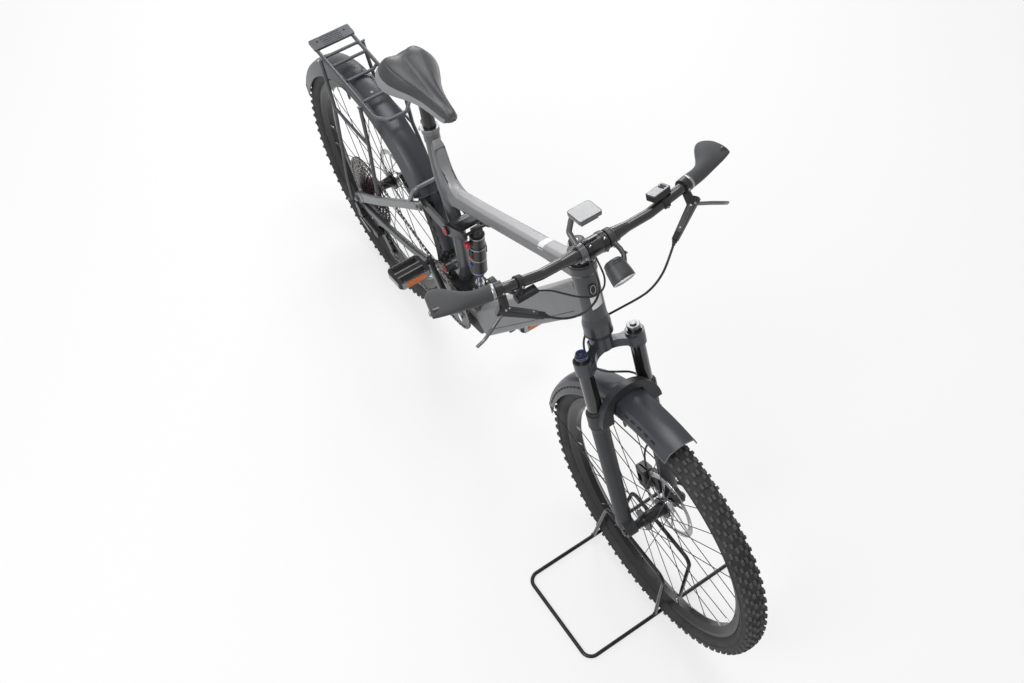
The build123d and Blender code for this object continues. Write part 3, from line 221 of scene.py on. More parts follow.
node_finish = {
    "frame_paint": ("seat_tube",),
    # Painted shade on the head tube and chain stays, painted light on the seat stays.
    "shaded_frame_paint": ("head_tube", "chain_stays"),
    "lit_frame_paint": ("seat_stays",),
    # Painted top light on the top and down tubes.
    "top_lit_frame_paint": ("top_tube", "down_tube"),
    "fork_paint": ("fork_lowers",),
    "stanchion": ("fork_stanchions",),
    "crown_paint": ("fork_crown",),
    "bar_black": ("stem", "handlebar"),
    "black_metal": ("brake_lever_right", "brake_lever_left", "mudguard_stays", "rocker_link", "shock_body",
                    "derailleur", "seatpost", "crank_arms", "front_hub", "rear_hub"),
    "lever_metal": ("lever_blade_right", "lever_blade_left", "seat_clamp"),
    "rack_paint": ("rack", "rack_legs"),
    "black_plastic": ("shifter", "drive_remote", "motor", "pedal_right", "pedal_left"),
    "panel_grey": ("headlight",),
    "grey_plastic": ("front_mudguard", "rear_mudguard"),
    "rubber": ("grip_right", "grip_left", "saddle"),
    "tyre_rubber": ("front_tyre", "rear_tyre"),
    "rim": ("front_rim", "rear_rim"),
    "spokes": ("front_spokes", "rear_spokes"),
    "steel": ("shock_shaft", "saddle_rails"),
    "dark_steel": ("front_axle", "rear_axle", "cassette", "chainring"),
    "chain_steel": ("chain",),
    "rotor_steel": ("front_rotor", "rear_rotor"),
    "caliper": ("front_caliper", "rear_caliper"),
    "gloss_plastic": ("display",),
    "stand_paint": ("display_stand",),
    "hose_skin": ("hose_front", "hose_rear", "shift_cable"),
}
for finish, names in node_finish.items():
    for name in names:
        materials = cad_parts[name].data.materials
        materials.clear()
        materials.append(finishes[finish])


# Mesh helpers


def placed(centre, axis):
    """A frame at a centre with its Z along an axis."""
    return Matrix.Translation(centre) @ Vector(axis).to_track_quat("Z", "Y").to_matrix().to_4x4()


def bead(radius, thick, count=8):
    """A round section for a hoop."""
    return [(radius + thick * cos(a), thick * sin(a)) for a in turns(count)]


class Builder:
    """Gathers many small shapes into one mesh. Places are vectors and sizes are millimetres."""

    def __init__(self):
        self.points = []
        self.faces = []

    def rings(self, rings, closed=False):
        """Joins rings of equal length by quads, and either closes the row or caps its ends."""
        start = len(self.points)
        count = len(rings[0])
        last = len(rings) if closed else len(rings) - 1
        self.points += [Vector(p) for ring in rings for p in ring]
        for r in range(last):
            here = start + r * count
            there = start + (r + 1) % len(rings) * count
            for i in range(count):
                j = (i + 1) % count
                self.faces.append([here + i, here + j, there + j, there + i])
        if not closed:
            self.faces.append([start + i for i in reversed(range(count))])
            self.faces.append([start + last * count + i for i in range(count)])

    def lathe(self, centre, axis, profile, segments=20):
        """Turns a profile of (radius, height) round an axis, with flat ends."""
        place = placed(centre, axis)
        self.rings([[place @ move(radius * cos(a), radius * sin(a), height) for a in turns(segments)]
                    for radius, height in profile])

    def bolt(self, centre, axis, radius, height):
        """Socket-head bolt with a rounded rim and a recess."""
        shape = ((1.0, 0.0), (1.0, 0.8), (0.88, 1.0), (0.58, 1.0), (0.52, 0.35))
        self.lathe(centre, axis, [(radius * share, height * rise) for share, rise in shape], 12)

    def hoop(self, centre, axis, profile, segments=32):
        """A closed ring: a loop of (radius, height) carried round an axis."""
        place = placed(centre, axis)
        self.rings([[place @ move(radius * cos(a), radius * sin(a), height) for radius, height in profile]
                    for a in turns(segments)], closed=True)

    def tube(self, points, radius, segments=8, closed=False):
        """A round bar along a line of points."""
        count = len(points)
        normal = None
        rings = []
        for i, p in enumerate(points):
            before = points[i - 1] if closed or i else p
            after = points[(i + 1) % count] if closed or i < count - 1 else p
            tangent = (after - before).normalized()
            if normal is None:
                normal = tangent.orthogonal()
            normal = (normal - tangent * normal.dot(tangent)).normalized()
            side = tangent.cross(normal)
            rings.append([p + (normal * cos(a) + side * sin(a)) * radius * mm for a in turns(segments)])
        self.rings(rings, closed)

    def block(self, centre, x_dir, y_dir, size, corner=1.0, bevel=0.4):
        """A slab with rounded corners and bevelled rims, sized along x_dir, y_dir and their normal."""
        x_dir = Vector(x_dir).normalized()
        z_dir = x_dir.cross(Vector(y_dir)).normalized()
        y_dir = z_dir.cross(x_dir)
        half_x, half_y, half_z = (s / 2 for s in size)
        rings = []
        for inset, z in ((bevel, -half_z), (0, bevel - half_z), (0, half_z - bevel), (bevel, half_z)):
            ring = []
            for k, (sx, sy) in enumerate(((1, 1), (-1, 1), (-1, -1), (1, -1))):
                for j in range(4):
                    a = pi / 2 * (k + j / 3)
                    x = sx * (half_x - corner) + (corner - inset) * cos(a)
                    y = sy * (half_y - corner) + (corner - inset) * sin(a)
                    ring.append(centre + (x_dir * x + y_dir * y + z_dir * z) * mm)
            rings.append(ring)
        self.rings(rings)

    def make(self, name, finish, body, slot, smooth=40.0):
        mesh = bpy.data.meshes.new(name)
        mesh.from_pydata([p[:] for p in self.points], [], self.faces)
        mesh.validate()
        mesh.shade_smooth()
        mesh.set_sharp_from_angle(angle=radians(smooth))
        mesh.materials.append(finishes[finish])
        piece = bpy.data.objects.new(name, mesh)
        bpy.context.scene.collection.objects.link(piece)
        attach(piece, body)
        return piece


def bolt_on(body, name, spots, finish, radius, height):
    """A set of socket bolts, given as (place, axis), made as one piece."""
    builder = Builder()
    for place, axis in spots:
        builder.bolt(place, axis, radius, height)
    builder.make(name, finish, body, "axle_steel", 30)


# Hoses and cables

bar_centre = fork_point(70, 0, 778)

# The handlebar's line: distance from the middle, forward, up
bar_stations = ((0, 0, 0), (52, 0, 2), (130, 3, 9), (205, 1, 27), (350, -34, 19))
lever_at = 221
shifter_at = 180
remote_at = 168


def bar_point(side, y):
    """A place on the handlebar's line on one side, at a distance from the middle."""
    for (ya, xa, za), (yb, xb, zb) in zip(bar_stations, bar_stations[1:]):
        if y <= yb:
            t = (y - ya) / (yb - ya)
            return bar_centre + move(xa + t * (xb - xa), side * y, za + t * (zb - za))
    return bar_centre + move(bar_stations[-1][1], side * y, bar_stations[-1][2])


def hose_way(side):
    return Vector((0.53, -0.74 * side, -0.4)).normalized()


def reservoir_end(side):
    return bar_point(side, lever_at) + move(60, -side * 62, -66)


def hose(name, points, radius):
    """A hose along its route, which gives the control points of one smooth spline."""
    curve = bpy.data.curves.new(name, "CURVE")
    curve.dimensions = "3D"
    curve.bevel_depth = radius * mm
    curve.bevel_resolution = 5
    curve.resolution_u = 10
    curve.use_fill_caps = True
    spline = curve.splines.new("NURBS")
    spline.points.add(len(points) - 1)
    for control, p in zip(spline.points, points):
        control.co = (*p, 1)
    spline.order_u = 3
    spline.use_endpoint_u = True
    curve.materials.append(finishes["hose_skin"])
    piece = bpy.data.objects.new(name, curve)
    bpy.context.scene.collection.objects.link(piece)
    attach(piece, "front_end")
    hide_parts(name.replace("_line", ""))


front_knots = (
    (112, 110, 660), (87, 90, 622), (50, 76, 590), (12, 66, 560), (-20, 48, 535), (-50, 18, 512),
    (-66, -6, 480), (-66, -14, 438), (-54, -10, 404), (-22, 0, 400), (6, 22, 402), (6, 50, 385),
    (-2, 74, 352), (8, 93, 318), (20, 96, 262), (12, 92, 205), (-12, 78, 155),
    (fork_offset - brake_back, brake_y + 9, brake_rise + 74),
    (fork_offset - brake_back, brake_y + 9, brake_rise + 29),
)
front_start = reservoir_end(left)
hose("hose_front_line", [front_start, front_start + hose_way(left) * 38 * mm]
     + [fork_point(*knot) for knot in front_knots], 2.5)

# The ports are in the underside of the stem, a cone between two balls: forward, up, radius
stem_root = (4, 736, 17)
stem_tip = (70, 778, 20)
stem_run = (stem_tip[0] - stem_root[0], stem_tip[1] - stem_root[1])
port_turn = atan2(stem_run[1], stem_run[0]) - acos((stem_root[2] - stem_tip[2]) / hypot(*stem_run))
port_reach = (stem_root[2] + stem_tip[2]) / 2
port_forward = (stem_root[0] + stem_tip[0]) / 2 + cos(port_turn) * port_reach
port_up = (stem_root[1] + stem_tip[1]) / 2 + sin(port_turn) * port_reach
port_way = (steer_forward * cos(port_turn) + steer_up * sin(port_turn)) * -1

rear_start = reservoir_end(right)
rear_port = fork_point(port_forward, -8, port_up)
hose("hose_rear_line", [
    rear_start, rear_start + hose_way(right) * 30 * mm,
    move(412, -104, 1034), move(411, -70, 1030), move(398, -38, 1028), move(374, -15, 1027),
    rear_port - port_way * 30 * mm, rear_port,
], 2.5)

shifter_pod = bar_point(right, shifter_at) + move(13, 8, -28)
cable_port = fork_point(port_forward, 8, port_up)
cable_way = Vector((0.25, 0.92, -0.3)).normalized()
cable_start = shifter_pod + move(6, 24, -2)
hose("shift_cable_line", [
    cable_start, cable_start + cable_way * 24 * mm,
    move(372, -101, 1063), move(388, -75, 1049), move(397, -48, 1038), move(389, -17, 1030),
    move(368, 2, 1029),
    cable_port - port_way * 26 * mm, cable_port,
], 2.0)


# Tyres

# Half of the carcass section from the bead to the shoulder, as (y, radius)
half_section = [(15.2, 317.0), (15.5, 323.5), (20.0, 326.2), (24.5, 331.0), (27.8, 337.5), (28.8, 344.0),
                (28.2, 350.0), (26.2, 355.6), (22.4, 360.2), (16.6, 363.5), (9.0, 365.2)]
tyre_section = half_section + [(0, 365.7)] + [(-y, r) for y, r in reversed(half_section)]
crown_section = sorted(p for p in tyre_section if p[1] > 350)

# Moulded lines: radius and distance from the middle, then the section as (outward, sideways)
side_lines = ((323.2, 16.2), (342.5, 29.6))
line_section = ((0, 0), (0.8, 0.4), (1.6, 0), (0.8, -0.8))

# Tread blocks of one pitch: share of the pitch, place across, length, width, skew
knob_rows = (
    (0.00, 4.8, 11.8, 6.8, 0.15),
    (0.00, -4.8, 11.8, 6.8, -0.15),
    (0.50, 12.5, 10.0, 6.0, -0.25),
    (0.50, -12.5, 10.0, 6.0, 0.25),
    (0.18, 20.5, 11.5, 6.2, 0.10),
    (0.18, -20.5, 11.5, 6.2, -0.10),
    (0.62, 25.2, 8.5, 5.5, 0.0),
    (0.62, -25.2, 8.5, 5.5, 0.0),
)


def carcass_radius(y):
    """Height of the carcass at a place across the tread."""
    for (ya, ra), (yb, rb) in zip(crown_section, crown_section[1:]):
        if ya <= y <= yb:
            return ra + (rb - ra) * (y - ya) / (yb - ya)
    return crown_section[0][1]


def tread_block(builder, centre, angle, y, length, width, skew):
    """One tapered block standing on the carcass, a little below the tyre's full radius."""
    base = carcass_radius(y)
    slope = (carcass_radius(y + 1) - carcass_radius(y - 1)) / 2
    outward = Vector((-slope, 1.0)).normalized()
    top = min(knob_height, (tyre_radius - 0.2 - base) / max(outward.y, 0.2))
    rings = []
    for rise, scale in ((-1.2, 1.12), (top * 0.82, 0.94), (top, 0.80)):
        ring = []
        for u, v in ((-1, -1), (1, -1), (1, 1), (-1, 1)):
            across = v * width / 2 * scale
            along = u * length / 2 * scale + skew * v * width / 2
            radius = base - outward.x * across + outward.y * rise
            place_y = y + outward.y * across + outward.x * rise
            ring.append(spun(centre, angle + along / tyre_radius, radius, place_y))
        rings.append(ring)
    builder.rings(rings)


def tyre(name, centre, body):
    around = turns(160)
    carcass = Builder()
    carcass.rings([[spun(centre, a, r, y) for y, r in tyre_section] for a in around], closed=True)
    for radius, reach in side_lines:
        for side in sides:
            carcass.rings([[spun(centre, a, radius + out, side * (reach + aside))
                            for out, aside in line_section] for a in around], closed=True)
    piece = carcass.make(name + "_carcass", "tyre_rubber", body, "tyre", 35)
    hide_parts(name)
    tread = Builder()
    for p in range(tread_pitches):
        for share, y, length, width, skew in knob_rows:
            tread_block(tread, centre, 2 * pi * (p + share) / tread_pitches, y, length, width, skew)
    tread.make(name + "_tread", "tread_rubber", body, "tyre", 35)


tyre("front_tyre", front_axle, "front_wheel")
tyre("rear_tyre", rear_axle, "rear_wheel")


# Saddle


def between(table, x):
    """Smooth value from a table of (x, value) pairs, by a cubic through them."""
    i = 0
    while i < len(table) - 2 and x > table[i + 1][0]:
        i += 1
    (xa, va), (xb, vb) = table[i], table[i + 1]
    xp, vp = table[max(i - 1, 0)]
    xn, vn = table[min(i + 2, len(table) - 1)]
    span = xb - xa
    slope_a = (vb - vp) / (xb - xp) * span
    slope_b = (vn - va) / (xn - xa) * span
    t = min(max((x - xa) / span, 0), 1)
    return (va * (1 + 2 * t) * (1 - t) ** 2 + slope_a * t * (1 - t) ** 2 + vb * t * t * (3 - 2 * t)
            - slope_b * t * t * (1 - t))


saddle_back = 186
saddle_length = 241
saddle_half = ((186, 40), (192, 58), (202, 68), (222, 75), (246, 73), (276, 60), (306, 44), (340, 32),
               (380, 24), (410, 19), (424, 12), (427, 7))
saddle_top = ((186, 1012), (196, 1022), (222, 1027), (252, 1024), (290, 1018), (340, 1014), (400, 1014),
              (418, 1011), (427, 1004))
saddle_depth = ((186, 20), (210, 40), (250, 46), (290, 38), (340, 30), (410, 26), (427, 10))
seam_at = 0.47

# Half section from the middle to the turned-under hem: share of half width, share of depth
saddle_section = ((0, 0.0, 0.03), (0.14, 0.16, 0.03), (0.28, 0.36, 0.0), (0.42, 0.54, 0.03),
                  (0.54, 0.66, 0.13), (0.66, 0.78, 0.34), (0.76, 0.88, 0.60), (0.85, 0.96, 0.84),
                  (0.92, 1.0, 1.0), (1.0, 0.93, 1.12))
section_wide = [(u, wide) for u, wide, fall in saddle_section]
section_fall = [(u, fall) for u, wide, fall in saddle_section]


def saddle_point(x, turn):
    """A place on the cover: x along the saddle, turn from -1 at the right hem to 1 at the left."""
    u = abs(turn)
    y = (1 if turn > 0 else -1) * between(saddle_half, x) * between(section_wide, u)
    fall = between(section_fall, u) * between(saddle_depth, x)
    along = min(max((x - 200) / 30, 0), 1) * min(max((404 - x) / 50, 0), 1)
    channel = 3.4 * exp(-(y / 9.0) ** 2) * along
    seam = 1.7 * exp(-((u - seam_at) / 0.018) ** 2) * along
    notch = 12 * exp(-(y / 21.0) ** 2) * max((224 - x) / 38, 0)
    return at(x + notch, y, between(saddle_top, x) - fall - channel - seam)


def saddle():
    cover = Builder()
    rows = [saddle_back + saddle_length * i / 110 for i in range(111)]
    rings = [[saddle_point(x, -1 + 2 * j / 96) for j in range(97)] for x in rows]
    for end, way in ((0, -1), (-1, 1)):
        whole = rings[end]
        middle = sum(whole, Vector()) / len(whole)
        for scale, reach in ((0.94, 1.2), (0.80, 2.4), (0.55, 3.2)):
            ring = [middle + (p - middle) * scale + move(way * reach, 0, 0) for p in whole]
            rings = rings + [ring] if way > 0 else [ring] + rings
    cover.rings(rings)
    piece = cover.make("saddle_cover", "saddle_skin", "frame", "saddle_cover", 60)
    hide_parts("saddle")

    # The lighter band along each lower edge
    shell = Builder()
    for low, high in ((-0.95, -0.76), (0.76, 0.95)):
        rings = []
        for x in rows[3:-5:3]:
            centre = at(x, 0, between(saddle_top, x) - between(saddle_depth, x))
            ring = []
            for j in range(7):
                p = saddle_point(x, low + (high - low) * j / 6)
                ring.append(p + (p - centre).normalized() * (0.4 + 0.9 * sin(pi * j / 6)) * mm)
            rings.append(ring + [p - (p - centre).normalized() * 3 * mm for p in reversed(ring)])
        shell.rings(rings)
    shell.make("saddle_shell", "shell_plastic", "frame", "black_plastic", 50)

    thread = Builder()
    for side in sides:
        for i in range(58):
            x = 200 + 3.5 * i
            for offset in (-0.04, 0.04):
                thread.tube([saddle_point(x + stitch, side * (seam_at + offset)) + move(0, 0, 0.2)
                             for stitch in (0, 2.1)], 0.35, 5)
    thread.make("saddle_stitching", "thread", "frame", "saddle_cover")


saddle()


# Chain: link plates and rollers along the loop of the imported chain

# Centre, teeth and the way the chain turns there
chain_stops = ((Vector((crank_x, -52, crank_z)), 34, 1), (Vector((88, chain_y, 190)), 12, 1),
               (Vector((38, chain_y, 240)), 12, -1), (Vector((0, chain_y, axle_height)), 51, 1))


def pitch_radius(teeth):
    return chain_pitch / (2 * sin(pi / teeth))


def chain_loop():
    """The chain's line as runs and arcs, in millimetres from the rear axle and the floor."""
    runs = []
    for (ca, teeth_a, sa), (cb, teeth_b, sb) in zip(chain_stops, chain_stops[1:] + chain_stops[:1]):
        ra = pitch_radius(teeth_a)
        rb = pitch_radius(teeth_b)
        dx = cb.x - ca.x
        dz = cb.z - ca.z
        angle = atan2(dz, dx) - asin((sa * ra - sb * rb) / hypot(dx, dz))
        outward = Vector((-sin(angle), 0, cos(angle)))
        runs.append((ca + outward * (sa * ra), cb + outward * (sb * rb)))
    points = []
    for i, (centre, teeth, turn) in enumerate(chain_stops):
        radius = pitch_radius(teeth)
        arrive = runs[i - 1][1]
        start, end = runs[i]
        a0 = atan2(arrive.z - centre.z, arrive.x - centre.x)
        a1 = atan2(start.z - centre.z, start.x - centre.x)
        sweep = -((a0 - a1) % (2 * pi)) if turn > 0 else (a1 - a0) % (2 * pi)
        count = max(int(abs(sweep) * radius / 2), 4)
        for j in range(count):
            a = a0 + sweep * j / count
            points.append(centre + Vector((radius * cos(a), 0, radius * sin(a))))
        flat = Vector((end.x - start.x, 0, end.z - start.z)).normalized() * 28
        if abs(start.y - end.y) < 0.01:
            points += [start + (end - start) * t / 40 for t in range(40)]
        else:
            points += [start, start + flat]
            points += [start + flat + (end - start - flat * 2) * t / 60 for t in range(1, 60)]
            points += [end - flat]
    return points


def along_loop(points, step):
    """Places at equal steps along a closed line, with the step evened out to close it."""
    ahead = points[1:] + points[:1]
    lengths = [(q - p).length for p, q in zip(points, ahead)]
    total = sum(lengths)
    count = int(round(total / step / 2)) * 2
    places = []
    travelled = 0
    i = 0
    for k in range(count):
        target = total * k / count
        while travelled + lengths[i] < target:
            travelled += lengths[i]
            i += 1
        places.append(points[i] + (ahead[i] - points[i]) * ((target - travelled) / lengths[i]))
    return places


def chain_links():
    """Plates at every link; rollers only clear of the teeth, because the chain stays still as they turn."""
    builder = Builder()
    toothed = [(at(centre.x, 0, centre.z), (pitch_radius(teeth) + 7.5) * mm)
               for centre, teeth, turn in chain_stops]
    places = [at(*p) for p in along_loop(chain_loop(), chain_pitch)]
    for i, p in enumerate(places):
        q = places[(i + 1) % len(places)]
        forward = (q - p).normalized()
        up = forward.cross(y_axis).normalized()
        waist = (p + q) / 2
        ring = []
        for end, start_angle, way in ((p, pi / 2, -1), (q, -pi / 2, 1)):
            for k in range(7):
                a = start_angle + pi * k / 6
                ring.append(end + (forward * cos(a) + up * sin(a)) * 3.9 * mm)
            ring.append(waist + up * way * 2.7 * mm)
        offset = 2.35 if i % 2 else 1.55
        for side in sides:
            builder.rings([[v + move(0, side * offset + half, 0) for v in ring] for half in (-0.4, 0.4)])
            builder.lathe(p + move(0, side * 2.0, 0), (0, side, 0), ((1.7, 0), (1.7, 1.2)), 8)
        if all(hypot(p.x - c.x, p.z - c.z) > reach for c, reach in toothed):
            builder.lathe(p - move(0, 2.0, 0), y_axis, ((3.3, 0), (3.3, 4.0)), 10)
    piece = builder.make("chain_links", "chain_steel", "frame", "chain_steel")
    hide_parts("chain")


chain_links()


# Cassette: open cogs on a red carrier

cassette_teeth = (51, 45, 39, 33, 28, 24, 21, 18, 16, 14, 12)
cog_spacing = 2.5


def cassette():
    cogs = Builder()
    for i, teeth in enumerate(cassette_teeth):
        y = chain_y - cog_spacing * i
        r = pitch_radius(teeth)
        inner = max(r - (11 if i < 5 else 8), 16)
        outline = []
        for base in turns(teeth):
            for share, radius in ((-0.36, r - 3.6), (-0.12, r + 2.9), (0.10, r + 2.9), (0.32, r - 3.6)):
                outline.append((radius, base + share * 2 * pi / teeth))
        hole = [(inner, a) for radius, a in outline]
        layers = ((outline, -0.8), (outline, 0.8), (hole, 0.8), (hole, -0.8))
        cogs.rings([[rear_axle + move(radius * cos(a), y + depth, radius * sin(a)) for radius, a in ring]
                    for ring, depth in layers], closed=True)
    piece = cogs.make("cassette_cogs", "cog_steel", "rear_wheel", "steel", 35)
    carrier = Builder()
    for i, teeth in enumerate(cassette_teeth[:6]):
        r = pitch_radius(teeth) - 11
        for turn in turns(6):
            a = turn + 0.18 * i
            along = Vector((cos(a), 0, sin(a)))
            middle = rear_axle + move(0, chain_y - cog_spacing * i, 0) + along * (17 + r) / 2 * mm
            carrier.block(middle, along, (-sin(a), 0, cos(a)), (r - 15, 8.5, 1.9), 1.2, 0.3)
    carrier.make("cassette_carrier", "red_metal", "rear_wheel", "steel", 35)
    core = Builder()
    core.lathe(rear_axle + move(0, -39, 0), (0, -1, 0),
               ((20, 0), (20, 27), (18.5, 28.5), (14.9, 28.5), (14.9, 0)), 48)
    core.make("cassette_core", "red_metal", "rear_wheel", "steel", 35)
    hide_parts("cassette")


cassette()


# Spoke nipples and valves

wheels = ((front_axle, "front_wheel"), (rear_axle, "rear_wheel"))
spoke_sweep = radians(58)
nipple_radius = 283.5
nipple_profile = ((1.9, 0), (2.2, 4), (2.2, 15.5))
valve_profile = ((1.8, 0), (3.4, 2), (3.4, 13), (2.8, 15), (2.6, 29), (6.2, 30.5), (6.2, 33.5), (2.6, 35),
                 (2.6, 40))
valve_radius = 262
valve_angle = 2.1

for centre, body in wheels:
    nipples = Builder()
    for side in sides:
        for fan in (0, 1):
            for i in range(7):
                hub_angle = 2 * pi * (i + 0.25 * (side > 0)) / 7 + fan * pi / 7
                rim_angle = hub_angle + spoke_sweep * (1 if fan else -1) + radians(4) * side
                outward = Vector((cos(rim_angle), 0, sin(rim_angle)))
                place = centre + outward * nipple_radius * mm + move(0, side * 4.9, 0)
                nipples.lathe(place, outward, nipple_profile, 8)
    nipples.make(body + "_nipples", "steel", body, "spoke")
    valve = Builder()
    outward = Vector((cos(valve_angle), 0, sin(valve_angle)))
    valve.lathe(centre + outward * valve_radius * mm, outward, valve_profile, 14)
    valve.make(body + "_valve", "dark_steel", body, "hub")


# Frame: labels, charging port and battery seam

top_low = at(404, 0, 715)
top_high = fork_point(0, 0, 690)
top_way = (top_high - top_low).normalized()
top_normal = Vector((-top_way.z, 0, top_way.x))
top_length = (top_high - top_low).length / mm
head_radius = 27


def top_tube_skin(along, y, lift):
    """A place on the upper side of the top tube, following its rounded corners."""
    share = along / top_length
    wide, deep = 36 + (share - 0.25) * 4, 40 - (share - 0.25) * 4
    if share > 0.75:
        wide, deep = 38 + (share - 0.75) * 24, 38 + (share - 0.75) * 40
    corner = 12
    past = min(max(abs(y) - (wide / 2 - corner), 0), corner * 0.98)
    height = deep / 2 - corner + sqrt(corner ** 2 - past ** 2) + lift
    return top_low + (top_way * along + top_normal * height) * mm + move(0, y, 0)


def head_skin(up, turn, lift):
    """A place on the head tube: height along the axis and degrees from straight ahead, left positive."""
    a = radians(turn)
    radius = head_radius + lift
    return fork_point(radius * cos(a), radius * sin(a), up)


def patch(builder, place, across_range, along_range, skew):
    """A thin sheet laid on a curved surface given by place(along, across, lift)."""
    rings = []
    for i in range(13):
        ring = []
        for lift, order in ((0.35, range(13)), (0.02, range(12, -1, -1))):
            for j in order:
                y = across_range[0] + j / 12 * (across_range[1] - across_range[0])
                along = along_range[0] + i / 12 * (along_range[1] - along_range[0]) + skew * j / 12
                ring.append(place(along, y, lift))
        rings.append(ring)
    builder.rings(rings)


labels = Builder()
patch(labels, top_tube_skin, (-19.0, 15.5), (430, 452), 0)
patch(labels, head_skin, (-30, 26), (602, 634), 6)
labels.make("blank_labels", "white_label", "frame", "frame_paint", 60)

port_middle = head_skin(652, -8, 0)
port_normal = (head_skin(652, -8, 1) - port_middle).normalized()
port = Builder()
port.tube([port_middle + (port_normal * 1.2 + steer_up * 10.5 * cos(a) + y_axis * 6.2 * sin(a)) * mm
           for a in turns(32)], 1.1, 8, closed=True)
port.make("port_ring", "satin_silver", "frame", "frame_paint")
plug = Builder()
plug.block(port_middle + port_normal * 0.2 * mm, steer_up, y_axis, (30, 20, 3), 9, 0.8)
plug.make("port_plate", "black_plastic", "frame", "black_plastic")

down_low = at(548, 0, 370)
down_high = fork_point(0, 0, 626)
down_way = (down_high - down_low).normalized()
down_normal = Vector((-down_way.z, 0, down_way.x))
seams = Builder()
for side in sides:
    line = []
    for i in range(41):
        t = 0.06 + 0.86 * i / 40
        half = 38 - 6 * t if t < 0.5 else 35 - 20 * (t - 0.5)
        line.append(down_low.lerp(down_high, t) - down_normal * 22 * mm + move(0, side * half, 0))
    seams.tube(line, 0.8, 6)
seams.make("battery_seam", "black_plastic", "frame", "black_plastic")

# Suspension pivots: x, z and reach of the bolts from the middle
pivots = ((418, 626, 44.0), (392, 440, 41.0))
links = ((306, 617, 55.6), (497, 682, 39.6))
pivot_rings = Builder()
for x, z, reach in pivots:
    for side in sides:
        pivot_rings.hoop(at(x, side * (reach + 0.2), z), (0, side, 0),
                         ((8.0, 0), (11.6, 0), (11.6, 1.2), (10.4, 2.0), (8.0, 2.0)))
pivot_rings.make("pivot_rings", "red_metal", "frame", "black_metal")
for name, places, radius in (("pivot_bolts", pivots, 7.2), ("link_bolts", links, 6.0)):
    spots = [(at(x, side * reach, z), (0, side, 0)) for x, z, reach in places for side in sides]
    bolt_on("frame", name, spots, "dark_steel", radius, 2.4)

# The web between seat tube and top tube: x, z, half depth, half width
web_line = ((334, 856, 5, 10), (341, 838, 10, 15.5), (348, 815, 14, 17.5), (356, 792, 17, 18),
            (368, 770, 18, 18), (386, 752, 19, 18), (408, 742, 20, 18), (432, 738, 20, 18.4),
            (456, 746, 17, 18.8), (478, 760, 12, 18.6))


def squared(value):
    """Swells a circle's sine or cosine towards a rounded square."""
    return (1 if value > 0 else -1) * abs(value) ** 0.7


web = Builder()
rows = []
for i, (x, z, deep, half) in enumerate(web_line):
    before = web_line[max(i - 1, 0)]
    after = web_line[min(i + 1, len(web_line) - 1)]
    along = Vector((after[0] - before[0], 0, after[1] - before[1])).normalized()
    above = Vector((-along.z, 0, along.x))
    rows.append([at(x, 0, z) + (above * deep * squared(sin(a)) + y_axis * half * squared(cos(a))) * mm
                 for a in turns(32)])
web.rings(rows)
# The web also gets the painted top light of the frame paint.
web.make("seat_web", "top_lit_frame_paint", "frame", "frame_paint", 60)

# Shock
shock_top = at(497, 0, 682)
shock_way = (shock_top - at(498, 0, 452)).normalized()


def on_shock(reach, x=0, y=0, z=0):
    return shock_top - shock_way * reach * mm + move(x, y, z)


knobs = Builder()
grooves = [(8.9 if i % 4 < 2 else 8.2, a) for i, a in enumerate(turns(40))]
knobs.rings([[on_shock(40, r * scale * cos(a), y, r * scale * sin(a)) for r, a in grooves]
             for y, scale in ((-25, 0.96), (-26, 1), (-33, 1), (-34.5, 0.86), (-34.5, 0.4))])
knobs.lathe(on_shock(92, 4, -20.5), (0.2, -1, 0), ((4.2, 0), (4.2, 4), (3, 5)))
knobs.make("shock_knobs", "red_metal", "frame", "black_metal")
blue_parts = Builder()
blue_parts.lathe(on_shock(124, 0, -20), (0, -1, 0), ((5, 0), (5, 4), (4, 5)))
blue_parts.hoop(on_shock(170), shock_way, bead(14.2, 1.3))
blue_parts.make("shock_blue", "blue_metal", "frame", "black_metal")
shock_rings = Builder()
for reach, radius in ((20, 19.6), (60, 21.6), (104, 21.4), (156, 21.6)):
    shock_rings.hoop(on_shock(reach), shock_way, ((18, -1.6), (radius, -1.6), (radius, 1.6), (18, 1.6)), 40)
shock_rings.make("shock_rings", "satin_silver", "frame", "steel")
collar = Builder()
collar.lathe(on_shock(157), -shock_way, ((16, 0), (16, 6), (13, 9), (13, 20), (9, 22)), 32)
for side in sides:
    collar.block(on_shock(82, 0, side * 21.2), shock_way, (1, 0, 0), (30, 18, 1.2), 3)
collar.make("shock_collar", "black_plastic", "frame", "black_metal")

# Seat clamp lever and the bolts of the post's head
post_base = at(315, 0, 866)
post_run = post_base - at(340, 0, 748)
slope = post_run.normalized()
clamp_centre = post_base + slope * 7.3 * mm
out = Vector((slope.z, 0, -slope.x))
lever = Builder()
lever.tube([clamp_centre + (out * cos(a) + y_axis * sin(a)) * 25.5 * mm
            for a in [radians(130 + 110 * i / 16) for i in range(17)]], 2.6, 10)
lever.hoop(clamp_centre + slope * 5.6 * mm, slope,
           ((21, 0), (22.8, 0), (22.6, 2), (19.5, 2), (19.5, 0.6)), 40)
lever.make("clamp_lever", "satin_silver", "frame", "steel")
post_top = post_base + post_run * 0.88
bolt_on("frame", "post_bolts", [(post_top + move(x, 0, 9.2), (0, 0, 1)) for x in (-17, 17)],
        "dark_steel", 3.6, 3.4)


# Motor covers and cranks

